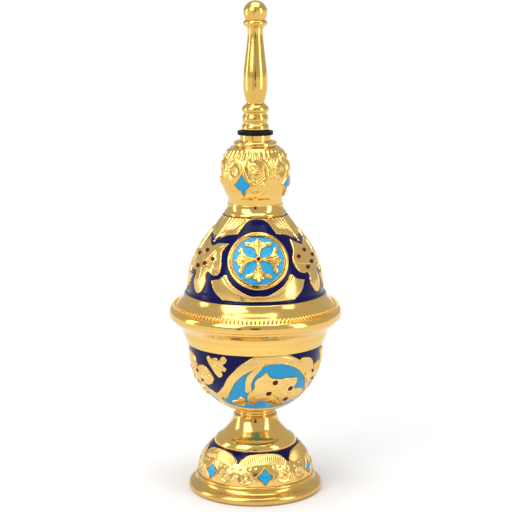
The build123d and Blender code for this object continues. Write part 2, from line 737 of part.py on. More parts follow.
def crescents():
    """Gilt crescent that cradles each medallion from below."""
    tip, corner, depth = CRESCENT_TIP_REACH, CRESCENT_CORNER_REACH, CRESCENT_DEPTH
    horn = (tip, -depth * 0.33)
    foot = (corner, -depth * 0.88)
    shape = make_face(
        [
            ThreePointArc(horn, ((tip + corner) / 2 + 0.9, -depth * 0.62), foot),
            ThreePointArc(foot, (0, -depth), (-foot[0], foot[1])),
            ThreePointArc((-foot[0], foot[1]), (-(tip + corner) / 2 - 0.9, -depth * 0.62), (-horn[0], horn[1])),
            Line((-horn[0], horn[1]), horn),
        ]
    )
    shape -= Pos(0, -1.0) * Circle(MEDALLION_RADIUS + CRESCENT_GAP)
    reach = MEDALLION_RISE - 1.5
    piece = dome.patch(MEDALLION_HEIGHT, shape, reach, ENAMEL, ENAMEL + APPLIQUE, 14)
    return around(piece, SECTOR_COUNT, MEDALLION_TURN)


def dome_leaves():
    """Gilt leaf between two medallions."""
    piece = dome.patch(dome.low + LEAF_RISE, dome_leaf(), 17, ENAMEL, ENAMEL + APPLIQUE, 9)
    return around(piece, SECTOR_COUNT, MEDALLION_TURN + 180 / SECTOR_COUNT)


def leaf_berries():
    """Dark red beads on each leaf of the dome."""
    base = ENAMEL + APPLIQUE
    spots = ((0, 6.3), (-6.8, 3.4), (6.8, 3.4), (-2.8, -1.8), (2.2, -1.2))
    shapes = [Pos(x, y) * Circle(BERRY_RADIUS) for x, y in spots]
    beads = [dome.patch(dome.low + LEAF_RISE, shape, 9, base, base + BERRY_LIFT, 5) for shape in shapes]
    turns = [MEDALLION_TURN + (k + 0.5) * 360 / SECTOR_COUNT for k in range(SECTOR_COUNT)]
    return Compound([pose(bead, turn) for bead in beads for turn in turns])


def neck_band():
    """Plain flared band between dome and knop."""
    low, high = BAND_SEAT, KNOP_SEAT
    foot = DOME_TOP_RADIUS + NECK_BAND_LIP
    bore = dome.radius_at(low, -DOME_WALL)
    return spun(
        (bore, low),
        (foot, low),
        (foot, low + 0.5),
        (((foot + KNOP_NECK_RADIUS) / 2 - 0.3, (low + high) / 2), (KNOP_NECK_RADIUS + 0.25, high)),
        (KNOP_NECK_RADIUS - KNOP_WALL, high),
    )


def knop_shell():
    """Hollow knop: a straight neck, a bulging wall and a roof with a hole for the bush."""
    web = KNOP_TOP - KNOP_ROOF
    inner_neck = KNOP_NECK_RADIUS - KNOP_WALL
    inner_low = knop.low + KNOP_WALL
    return spun(
        (inner_neck, KNOP_SEAT),
        (KNOP_NECK_RADIUS, KNOP_SEAT),
        (KNOP_NECK_RADIUS, knop.low),
        *knop.steps(knop.low, KNOP_TOP, 0),
        (BUSH_BODY_RADIUS, KNOP_TOP),
        (BUSH_BODY_RADIUS, web),
        (knop.radius_at(web, -KNOP_WALL), web),
        *knop.steps_down(web, inner_low, -KNOP_WALL),
        (inner_neck, knop.low),
    )


def knop_bead():
    """Rolled bead round the top of the knop."""
    low, high = KNOP_TOP, BEAD_TOP
    inner = KNOP_BEAD_RADIUS - KNOP_BEAD_HEIGHT / 3
    return spun(
        (BUSH_BODY_RADIUS, low),
        (inner, low),
        ((KNOP_BEAD_RADIUS, (low + high) / 2), (inner, high)),
        (BUSH_BODY_RADIUS, high),
    )


def neck_bush():
    """Threaded bush in the neck, with the collar that the washer seals on; its thread is drawn plain."""
    bore = NIPPLE_RADIUS + THREAD_CLEARANCE
    return spun(
        (bore, BEAD_TOP - BUSH_DEPTH),
        (BUSH_BODY_RADIUS, BEAD_TOP - BUSH_DEPTH),
        (BUSH_BODY_RADIUS, BEAD_TOP),
        (BUSH_COLLAR_RADIUS, BEAD_TOP),
        (BUSH_COLLAR_RADIUS, BUSH_TOP),
        (bore, BUSH_TOP),
    )


def sealing_washer():
    """Black rubber washer between bush and spout."""
    return fillet(
        tube(GASKET_RADIUS, NIPPLE_RADIUS + THREAD_CLEARANCE, BUSH_TOP, FITTING_SEAT).edges().filter_by(
            GeomType.CIRCLE
        ).group_by(SortBy.RADIUS)[-1],
        GASKET_THICKNESS * 0.3,
    )


def spout_fitting():
    """Foot of the spout: a threaded nipple, drawn plain, under three turned rings."""
    seat, top = FITTING_SEAT, SPINDLE_SEAT
    full = FITTING_RADIUS
    neck = full - FITTING_GROOVE
    tenon_low = top - TENON_LENGTH
    rise = FITTING_HEIGHT
    return spun(
        (WATERWAY_RADIUS, BUSH_TOP - THREAD_ENGAGEMENT),
        (NIPPLE_RADIUS, BUSH_TOP - THREAD_ENGAGEMENT),
        (NIPPLE_RADIUS, seat),
        (full, seat),
        (full, seat + rise * 0.2),
        ((neck, seat + rise * 0.28), (full - 0.35, seat + rise * 0.36)),
        ((full - 0.15, seat + rise * 0.46), (full - 0.35, seat + rise * 0.56)),
        ((neck, seat + rise * 0.63), (full, seat + rise * 0.71)),
        (full, seat + rise * 0.85),
        (FITTING_TOP_RADIUS, top),
        (TENON_RADIUS, top),
        (TENON_RADIUS, tenon_low),
        (WATERWAY_RADIUS, tenon_low),
    )


def spout_spindle():
    """Slender turned spindle, bored for the water, with a tenon at each end."""
    low, high = SPINDLE_SEAT, RING_SEAT
    points = (
        (FITTING_TOP_RADIUS, 0.0), (SPINDLE_BELLY_RADIUS - 0.5, 0.12), (SPINDLE_BELLY_RADIUS, 0.26),
        (SPINDLE_BELLY_RADIUS - 0.4, 0.46), (SPINDLE_WAIST_RADIUS + 0.6, 0.72), (SPINDLE_WAIST_RADIUS, 0.91),
        (SPINDLE_WAIST_RADIUS + 0.1, 1.0),
    )
    side = Spline(*[at(radius, low + share * SPINDLE_LENGTH) for radius, share in points])
    end = high + SPIGOT_LENGTH
    rest = Polyline(
        side @ 1,
        at(SPIGOT_RADIUS, high),
        at(SPIGOT_RADIUS, end),
        at(WATERWAY_RADIUS, end),
        at(WATERWAY_RADIUS, low - TENON_LENGTH),
        at(TENON_RADIUS, low - TENON_LENGTH),
        at(TENON_RADIUS, low),
        side @ 0,
    )
    return revolve(Face(Wire([side, *rest.edges()])), Axis.Z)


def spout_ring():
    """Ring under the ball, chamfered below."""
    low, high = RING_SEAT, BALL_SEAT
    full = SPOUT_RING_RADIUS
    return spun(
        (SPIGOT_RADIUS, low),
        (SPINDLE_WAIST_RADIUS + 0.1, low),
        (full, low + SPOUT_RING_HEIGHT * 0.42),
        (full, high - SPOUT_RING_HEIGHT * 0.18),
        (BALL_NECK_RADIUS, high),
        (SPIGOT_RADIUS, high),
    )


def sprinkler_ball():
    """Hollow ball that closes the spout, pierced by spray holes round its crown."""
    low, waist, top = BALL_SEAT, BALL_SEAT + BALL_WAIST_RISE, BALL_SEAT + BALL_HEIGHT
    spigot_top = RING_SEAT + SPIGOT_LENGTH
    outer, inner = BALL_RADIUS, BALL_RADIUS - BALL_WALL
    ball = spun(
        (SPIGOT_RADIUS, low),
        (BALL_NECK_RADIUS, low),
        ((outer * 0.965, low + BALL_WAIST_RISE * 0.5), (outer, waist)),
        (crown_middle(outer, waist, top), (0, top)),
        (0, top - BALL_WALL),
        (crown_middle(inner, waist, top - BALL_WALL), (inner, waist)),
        (SPIGOT_RADIUS, spigot_top),
    )
    spots = [(0, 0)]
    for k in range(SPRAY_HOLE_COUNT):
        angle = 2 * pi * k / SPRAY_HOLE_COUNT
        spots.append((SPRAY_HOLE_CIRCLE * cos(angle), SPRAY_HOLE_CIRCLE * sin(angle)))
    for x, y in spots:
        ball -= Pos(x, y, top - 2) * Cylinder(SPRAY_HOLE_RADIUS, 6)
    return ball


def crown_middle(radius, waist, top):
    """Middle point of the arc from the ball's widest line to its top, on a sphere centred on Z."""
    rise = top - waist
    sphere = (radius**2 + rise**2) / (2 * rise)
    angle = (atan2(waist - top + sphere, radius) + pi / 2) / 2
    return sphere * cos(angle), top - sphere + sphere * sin(angle)


def knop_height():
    """Height of the middle of the knop's lozenges."""
    return KNOP_SEAT + KNOP_LOZENGE_RISE


PIECES = {
    "base_ring": base_ring,
    "foot_bell": foot_bell,
    "foot_petals": foot_petals,
    "foot_enamel": foot_enamel,
    "foot_lozenge_frames": lambda: frames(
        bell, BELL_SEAT + FOOT_LOZENGE_RISE, FOOT_LOZENGE_HALF_WIDTH, FOOT_LOZENGE_HALF_HEIGHT,
        FOOT_PETAL_LIFT, FOOT_PETAL_COUNT, FOOT_PETAL_TURN),
    "foot_lozenges": lambda: lozenges(
        bell, BELL_SEAT + FOOT_LOZENGE_RISE, FOOT_LOZENGE_HALF_WIDTH, FOOT_LOZENGE_HALF_HEIGHT,
        FOOT_PETAL_LIFT, FOOT_PETAL_COUNT, FOOT_PETAL_TURN),
    "foot_cone": foot_cone,
    "stem_collar": stem_collar,
    "stem_stud": stem_stud,
    "stem_washer": stem_washer,
    "stem_nut": stem_nut,
    "bowl_shell": bowl_shell,
    "bowl_navy_enamel": bowl_navy_enamel,
    "bowl_sky_enamel": bowl_sky_enamel,
    "bowl_ribbon": bowl_ribbon,
    "bowl_leaves": bowl_leaves,
    "bowl_sprigs": bowl_sprigs,
    "rim_band": rim_band,
    "flange_ring": flange_ring,
    "dome_shell": dome_shell,
    "dome_enamel": dome_enamel,
    "petal_collar": petal_collar,
    "medallion_rims": medallion_rims,
    "medallion_discs": medallion_discs,
    "medallion_crosses": medallion_crosses,
    "medallion_berries": medallion_berries,
    "crescents": crescents,
    "dome_leaves": dome_leaves,
    "leaf_berries": leaf_berries,
    "neck_band": neck_band,
    "knop_shell": knop_shell,
    "knop_lozenge_frames": lambda: frames(
        knop, knop_height(), KNOP_LOZENGE_HALF_WIDTH, KNOP_LOZENGE_HALF_HEIGHT,
        0, KNOP_LOZENGE_COUNT, KNOP_LOZENGE_TURN),
    "knop_lozenges": lambda: lozenges(
        knop, knop_height(), KNOP_LOZENGE_HALF_WIDTH, KNOP_LOZENGE_HALF_HEIGHT,
        0, KNOP_LOZENGE_COUNT, KNOP_LOZENGE_TURN),
    "knop_bead": knop_bead,
    "neck_bush": neck_bush,
    "sealing_washer": sealing_washer,
    "spout_fitting": spout_fitting,
    "spout_spindle": spout_spindle,
    "spout_ring": spout_ring,
    "sprinkler_ball": sprinkler_ball,
}

os.makedirs("parts", exist_ok=True)
for name, make in PIECES.items():
    export_step(make(), f"parts/{name}.step")
print(f"wrote {len(PIECES)} parts, overall height {BALL_SEAT + BALL_HEIGHT:.1f} mm")
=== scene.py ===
"""Looks of a holy water sprinkler: an enamelled, gilt brass vessel with a spout that screws out of its neck.

Sizes in the classes are in millimetres, as in the CAD, and are turned into metres when a mesh is finished.
Azimuths are in degrees from the front (-Y), positive towards +X.
"""

from __future__ import annotations

import json
import logging
import math
from dataclasses import dataclass
from enum import Enum
from typing import Callable, Sequence

import bmesh
import bpy
import numpy as np
from mathutils import Matrix, Vector

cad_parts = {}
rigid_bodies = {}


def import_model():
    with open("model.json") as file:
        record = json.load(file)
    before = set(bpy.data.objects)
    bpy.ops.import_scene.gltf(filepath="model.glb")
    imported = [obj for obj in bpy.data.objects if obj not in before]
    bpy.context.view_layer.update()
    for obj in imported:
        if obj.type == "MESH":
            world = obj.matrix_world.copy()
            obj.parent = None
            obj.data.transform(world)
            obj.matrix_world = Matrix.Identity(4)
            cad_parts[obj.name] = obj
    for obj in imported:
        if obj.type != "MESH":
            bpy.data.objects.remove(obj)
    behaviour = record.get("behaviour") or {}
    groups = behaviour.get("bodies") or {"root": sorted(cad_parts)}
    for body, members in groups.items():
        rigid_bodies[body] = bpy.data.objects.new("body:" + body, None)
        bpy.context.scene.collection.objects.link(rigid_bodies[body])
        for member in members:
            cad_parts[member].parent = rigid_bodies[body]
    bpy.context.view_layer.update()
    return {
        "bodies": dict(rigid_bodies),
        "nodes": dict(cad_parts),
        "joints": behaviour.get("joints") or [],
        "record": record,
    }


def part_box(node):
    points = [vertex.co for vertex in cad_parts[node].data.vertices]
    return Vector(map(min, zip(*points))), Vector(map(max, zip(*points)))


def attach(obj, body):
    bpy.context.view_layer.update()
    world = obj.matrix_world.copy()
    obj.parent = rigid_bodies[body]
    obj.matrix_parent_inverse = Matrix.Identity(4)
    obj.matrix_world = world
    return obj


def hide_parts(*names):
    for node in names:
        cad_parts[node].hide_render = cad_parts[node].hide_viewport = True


LOG = logging.getLogger("sprinkler")
Knot = tuple
Array = np.ndarray
Placer = Callable[[Array, Array, Array], Array]
Carving = Callable[[Array, Array], Array]
Filler = Callable[[bpy.types.NodeTree, bpy.types.Node, bpy.types.Node], None]

# Metres in a millimetre, and the height of a bump map's full step in metres.
MM = 0.001
BUMP_STEP = 0.0003
# In millimetres: vertices nearer than WELD are one, CUT is the tolerance of a cut, and a point
# within HEM of the side of a repeat joins the next repeat.
WELD = 0.001
CUT = 0.0005
HEM = 0.02
# Steps round the axis of the spout and collars, the foot and neck, the bowl and dome, and the knop.
SLIM_ROUND = 192
FOOT_ROUND = 256
BODY_ROUND = 320
KNOP_ROUND = 432
# Sockets of a Mix node that mixes colours: factor, first and second colour, and result.
MIX_FACTOR, MIX_LIGHT, MIX_DARK, MIX_RESULT = 0, 6, 7, 2
# Search along a plane's normal for the surface under it: from and to in millimetres, and halvings.
DEEPEST, SHALLOWEST, HALVINGS = -20.0, 0.5, 26
# Largest sine of a meridian's lean, which keeps its arcsine real.
STEEPEST = 0.999


class Slot(Enum):
    """Material slots of the record."""

    GILT = "gilt_brass"
    TURNED = "turned_brass"
    NAVY = "navy_enamel"
    SKY = "sky_enamel"
    RED = "red_enamel"
    RUBBER = "black_rubber"
    STEEL = "zinc_steel"


class Body(Enum):
    """Rigid bodies of the frame."""

    VESSEL = "vessel"
    GASKET = "gasket"
    SPOUT = "spout"


class Groups:
    """Shader node groups that several finishes share, each built once."""

    SOFT_DETAIL = 3.0
    FINE_DETAIL = 6.0
    FINE_RATIO = 9.0
    RING_DETAIL = 4.0
    _made: dict[str, bpy.types.NodeTree] = {}

    @classmethod
    def get(cls, name: str, inputs: dict[str, float], outputs: Sequence[tuple[str, str]],
            build: Filler) -> bpy.types.NodeTree:
        """Gives a node group, and builds it the first time.

        Args:
            name: the group's name.
            inputs: float inputs with their defaults.
            outputs: name and socket type of each output.
            build: fills the tree between its input and output nodes.

        Returns:
            The node group.
        """
        if name in cls._made:
            return cls._made[name]
        tree = bpy.data.node_groups.new(name, "ShaderNodeTree")
        for label, value in inputs.items():
            socket = tree.interface.new_socket(name=label, in_out="INPUT", socket_type="NodeSocketFloat")
            socket.default_value = value
        for label, kind in outputs:
            tree.interface.new_socket(name=label, in_out="OUTPUT", socket_type=kind)
        entry, leave = tree.nodes.new("NodeGroupInput"), tree.nodes.new("NodeGroupOutput")
        build(tree, entry, leave)
        cls._made[name] = tree
        return tree

    @classmethod
    def handling(cls) -> bpy.types.NodeTree:
        """Uneven polish: soft clouds of dulled metal and fine rubbed specks.

        Returns:
            A group with inputs Scale and Amount and outputs Cloud and Height.
        """

        def build(tree: bpy.types.NodeTree, entry: bpy.types.Node, leave: bpy.types.Node) -> None:
            """Two noises, one soft and one fine."""
            place = tree.nodes.new("ShaderNodeTexCoord")
            soft, fine = tree.nodes.new("ShaderNodeTexNoise"), tree.nodes.new("ShaderNodeTexNoise")
            soft.inputs["Detail"].default_value = cls.SOFT_DETAIL
            fine.inputs["Detail"].default_value = cls.FINE_DETAIL
            finer = tree.nodes.new("ShaderNodeMath")
            finer.operation = "MULTIPLY"
            finer.inputs[1].default_value = cls.FINE_RATIO
            shade = tree.nodes.new("ShaderNodeMath")
            shade.operation = "MULTIPLY"
            tree.links.new(place.outputs["Object"], soft.inputs["Vector"])
            tree.links.new(place.outputs["Object"], fine.inputs["Vector"])
            tree.links.new(entry.outputs["Scale"], soft.inputs["Scale"])
            tree.links.new(entry.outputs["Scale"], finer.inputs[0])
            tree.links.new(finer.outputs[0], fine.inputs["Scale"])
            tree.links.new(soft.outputs["Fac"], shade.inputs[0])
            tree.links.new(entry.outputs["Amount"], shade.inputs[1])
            tree.links.new(shade.outputs[0], leave.inputs["Cloud"])
            tree.links.new(fine.outputs["Fac"], leave.inputs["Height"])

        return cls.get("handling", {"Scale": 60.0, "Amount": 1.0},
                       [("Cloud", "NodeSocketFloat"), ("Height", "NodeSocketFloat")], build)

    @classmethod
    def lathe_lines(cls) -> bpy.types.NodeTree:
        """Fine rings left by the lathe, across the Z axis.

        Returns:
            A group with input Scale and output Height.
        """

        def build(tree: bpy.types.NodeTree, entry: bpy.types.Node, leave: bpy.types.Node) -> None:
            """Noise on radius and height alone."""
            place, split = tree.nodes.new("ShaderNodeTexCoord"), tree.nodes.new("ShaderNodeSeparateXYZ")
            flat, join = tree.nodes.new("ShaderNodeVectorMath"), tree.nodes.new("ShaderNodeCombineXYZ")
            flat.operation = "MULTIPLY"
            flat.inputs[1].default_value = (1.0, 1.0, 0.0)
            radius = tree.nodes.new("ShaderNodeVectorMath")
            radius.operation = "LENGTH"
            rings = tree.nodes.new("ShaderNodeTexNoise")
            rings.inputs["Detail"].default_value = cls.RING_DETAIL
            tree.links.new(place.outputs["Object"], flat.inputs[0])
            tree.links.new(place.outputs["Object"], split.inputs[0])
            tree.links.new(flat.outputs[0], radius.inputs[0])
            tree.links.new(radius.outputs["Value"], join.inputs["X"])
            tree.links.new(split.outputs["Z"], join.inputs["Z"])
            tree.links.new(join.outputs[0], rings.inputs["Vector"])
            tree.links.new(entry.outputs["Scale"], rings.inputs["Scale"])
            tree.links.new(rings.outputs["Fac"], leave.inputs["Height"])

        return cls.get("lathe_lines", {"Scale": 900.0}, [("Height", "NodeSocketFloat")], build)


@dataclass(frozen=True)
class Finish:
    """A procedural surface: metal, enamel or rubber with uneven polish and lathe rings."""

    name: str
    slot: Slot | None
    light: tuple[float, float, float]
    dark: tuple[float, float, float]
    metal: float = 0.0
    smooth: float = 0.15
    rough: float = 0.3
    cloud_scale: float = 60.0
    speck_bump: float = 0.04
    ring_scale: float = 0.0
    ring_bump: float = 0.0
    sheen_level: float = 0.5

    def material(self) -> bpy.types.Material:
        """Builds the material the first time, and finds it afterwards.

        Returns:
            The material.
        """
        found = bpy.data.materials.get(self.name)
        if found:
            return found
        made = bpy.data.materials.new(self.name)
        made.use_nodes = True
        tree = made.node_tree
        nodes, links = tree.nodes, tree.links
        shader = nodes["Principled BSDF"]
        shader.inputs["Metallic"].default_value = self.metal
        shader.inputs["Specular IOR Level"].default_value = self.sheen_level
        polish = nodes.new("ShaderNodeGroup")
        polish.node_tree = Groups.handling()
        polish.inputs["Scale"].default_value = self.cloud_scale
        tint = nodes.new("ShaderNodeMix")
        tint.data_type = "RGBA"
        tint.inputs[MIX_LIGHT].default_value = (*self.light, 1.0)
        tint.inputs[MIX_DARK].default_value = (*self.dark, 1.0)
        links.new(polish.outputs["Cloud"], tint.inputs[MIX_FACTOR])
        links.new(tint.outputs[MIX_RESULT], shader.inputs["Base Color"])
        spread = nodes.new("ShaderNodeMapRange")
        spread.inputs["To Min"].default_value = self.smooth
        spread.inputs["To Max"].default_value = self.rough
        links.new(polish.outputs["Cloud"], spread.inputs["Value"])
        links.new(spread.outputs[0], shader.inputs["Roughness"])
        bump = nodes.new("ShaderNodeBump")
        bump.inputs["Strength"].default_value = self.speck_bump
        bump.inputs["Distance"].default_value = BUMP_STEP
        links.new(polish.outputs["Height"], bump.inputs["Height"])
        if self.ring_bump > 0.0:
            lines = nodes.new("ShaderNodeGroup")
            lines.node_tree = Groups.lathe_lines()
            lines.inputs["Scale"].default_value = self.ring_scale
            rings = nodes.new("ShaderNodeBump")
            rings.inputs["Strength"].default_value = self.ring_bump
            rings.inputs["Distance"].default_value = BUMP_STEP
            links.new(lines.outputs["Height"], rings.inputs["Height"])
            links.new(rings.outputs["Normal"], bump.inputs["Normal"])
        links.new(bump.outputs["Normal"], shader.inputs["Normal"])
        return made


POLISHED_GILT = Finish("polished_gilt", Slot.GILT, (0.92, 0.62, 0.19), (0.80, 0.49, 0.12), metal=1.0,
                       smooth=0.08, rough=0.18, speck_bump=0.03, ring_scale=700.0, ring_bump=0.03)
CAST_GILT = Finish("cast_gilt", Slot.GILT, (0.86, 0.56, 0.17), (0.66, 0.39, 0.10), metal=1.0, smooth=0.13,
                   rough=0.26, cloud_scale=130.0, speck_bump=0.10)
CHASED_GILT = Finish("chased_gilt", Slot.GILT, (0.92, 0.64, 0.22), (0.78, 0.49, 0.14), metal=1.0, smooth=0.12,
                     rough=0.24, cloud_scale=180.0, speck_bump=0.08)
TURNED_GILT = Finish("turned_gilt", Slot.TURNED, (0.86, 0.57, 0.16), (0.74, 0.44, 0.10), metal=1.0,
                     smooth=0.10, rough=0.20, speck_bump=0.03, ring_scale=1600.0, ring_bump=0.03)
NAVY_GLAZE = Finish("navy_glaze", Slot.NAVY, (0.002, 0.003, 0.085), (0.001, 0.001, 0.035), smooth=0.10,
                    rough=0.24, cloud_scale=110.0, speck_bump=0.12, sheen_level=0.16)
SKY_GLAZE = Finish("sky_glaze", Slot.SKY, (0.020, 0.32, 0.60), (0.014, 0.27, 0.52), smooth=0.20, rough=0.36,
                   cloud_scale=90.0, speck_bump=0.08, sheen_level=0.25)
PALE_SKY_GLAZE = Finish("pale_sky_glaze", Slot.SKY, (0.030, 0.38, 0.68), (0.016, 0.30, 0.60), smooth=0.16,
                        rough=0.30, cloud_scale=120.0, speck_bump=0.08, sheen_level=0.3)
RED_GLAZE = Finish("red_glaze", Slot.RED, (0.12, 0.002, 0.002), (0.06, 0.001, 0.001), smooth=0.12, rough=0.22,
                   cloud_scale=300.0, speck_bump=0.05, sheen_level=0.2)
MATT_RUBBER = Finish("matt_rubber", Slot.RUBBER, (0.004, 0.004, 0.004), (0.008, 0.008, 0.008), smooth=0.42,
                     rough=0.62, cloud_scale=200.0, speck_bump=0.25, sheen_level=0.12)
PLATED_STEEL = Finish("plated_steel", Slot.STEEL, (0.60, 0.61, 0.62), (0.45, 0.45, 0.44), metal=1.0,
                      smooth=0.25, rough=0.45, speck_bump=0.08, ring_scale=1500.0, ring_bump=0.1)
FLOOR_PAPER = Finish("floor_paper", None, (0.88, 0.88, 0.88), (0.86, 0.86, 0.86), smooth=0.7, rough=0.8,
                     cloud_scale=3.0, speck_bump=0.0)
CARD_FELT = Finish("card_felt", None, (0.012, 0.010, 0.008), (0.010, 0.008, 0.006), smooth=0.9, rough=1.0,
                   speck_bump=0.0)


@dataclass(frozen=True)
class Meridian:
    """The outside of a turned shell: an arc of one radius, with a tangent cone above it if it has a top."""

    radius: float
    height: float
    bulge: float
    leans: tuple[float, float]
    top_radius: float | None = None

    @property
    def centre(self) -> tuple[float, float]:
        """Radius and height of the arc's centre."""
        lean = math.radians(self.leans[0])
        return self.radius - self.bulge * math.cos(lean), self.height - self.bulge * math.sin(lean)

    @property
    def turn(self) -> tuple[float, float]:
        """Radius and height where the arc ends."""
        lean = math.radians(self.leans[1])
        return self.centre[0] + self.bulge * math.cos(lean), self.centre[1] + self.bulge * math.sin(lean)

    @property
    def top(self) -> float:
        """Height of the shell's upper edge."""
        if self.top_radius is None:
            return self.turn[1]
        return self.turn[1] + (self.turn[0] - self.top_radius) / math.tan(math.radians(self.leans[1]))

    def lean_at(self, height: Array) -> Array:
        """Angle of the surface's normal above the horizontal, in radians."""
        share = np.clip((height - self.centre[1]) / self.bulge, -STEEPEST, STEEPEST)
        return np.where(height > self.turn[1], math.radians(self.leans[1]), np.arcsin(share))

    def radius_at(self, height: Array) -> Array:
        """Radius of the surface at a height."""
        cone = self.turn[0] - (height - self.turn[1]) * math.tan(math.radians(self.leans[1]))
        arc = self.centre[0] + self.bulge * np.cos(self.lean_at(height))
        return np.where(height > self.turn[1], cone, arc)

    def point(self, azimuth: Array, height: Array, lift: Array) -> Array:
        """Points over the surface.

        Args:
            azimuth: degrees from the front.
            height: millimetres above the resting face.
            lift: millimetres outwards along the surface's normal.

        Returns:
            One row of x, y and z for each point, in millimetres.
        """
        lean, turn = self.lean_at(height), np.radians(azimuth)
        reach = self.radius_at(height) + lift * np.cos(lean)
        return np.stack((reach * np.sin(turn), -reach * np.cos(turn), height + lift * np.sin(lean)), axis=-1)

    def unrolled(self, scale: float) -> Placer:
        """Gives a placer that reads (azimuth times scale, height, lift).

        Args:
            scale: millimetres for each degree on the flat drawing.

        Returns:
            A placer.
        """
        return lambda x, y, lift: self.point(x / scale, y, lift)

    def tangent(self, height: float) -> Placer:
        """Gives a placer that reads (x, y) on the plane that touches the surface at the front.

        Args:
            height: height where the plane touches.

        Returns:
            A placer that drops each point on the surface along the plane's normal.
        """
        lean = float(self.lean_at(np.array(height)))
        start = self.point(np.array(0.0), np.array(height), np.array(0.0))
        right = np.array((1.0, 0.0, 0.0))
        out = np.array((0.0, -math.cos(lean), math.sin(lean)))
        up = np.cross(out, right)

        def place(x: Array, y: Array, lift: Array) -> Array:
            """Drops points along the plane's normal until they meet the surface."""
            flat = start + x[:, None] * right + y[:, None] * up
            inside, outside = np.full(len(x), DEEPEST), np.full(len(x), SHALLOWEST)
            for _ in range(HALVINGS):
                middle = (inside + outside) / 2
                spot = flat + middle[:, None] * out
                within = np.hypot(spot[:, 0], spot[:, 1]) < self.radius_at(spot[:, 2])
                inside, outside = np.where(within, middle, inside), np.where(within, outside, middle)
            spot = flat + outside[:, None] * out
            return self.point(np.degrees(np.arctan2(spot[:, 0], -spot[:, 1])), spot[:, 2], lift)

        return place


@dataclass(frozen=True)
class Stroke:
    """A chased line or ridge: a path on a flat drawing, with a width and a height."""

    path: Sequence[tuple[float, float]]
    width: float
    height: float
    offset: float = 0.0

    def rise(self, x: Array, y: Array) -> Array:
        """Height of the stroke over each flat point."""
        near = np.full(x.shape, np.inf)
        for (ax, ay), (bx, by) in zip(self.path[:-1], self.path[1:]):
            dx, dy = bx - ax, by - ay
            along = np.clip(((x - ax) * dx + (y - ay) * dy) / (dx * dx + dy * dy), 0.0, 1.0)
            near = np.minimum(near, np.hypot(x - ax - along * dx, y - ay - along * dy))
        return self.height * np.exp(-(((near - self.offset) / self.width) ** 2))


def chased(*strokes: Stroke) -> Carving:
    """Adds strokes up.

    Args:
        strokes: ridges, and grooves where the height is negative.

    Returns:
        A function of flat x and y that gives the lift.
    """
    return lambda x, y: sum((stroke.rise(x, y) for stroke in strokes), np.zeros(x.shape))


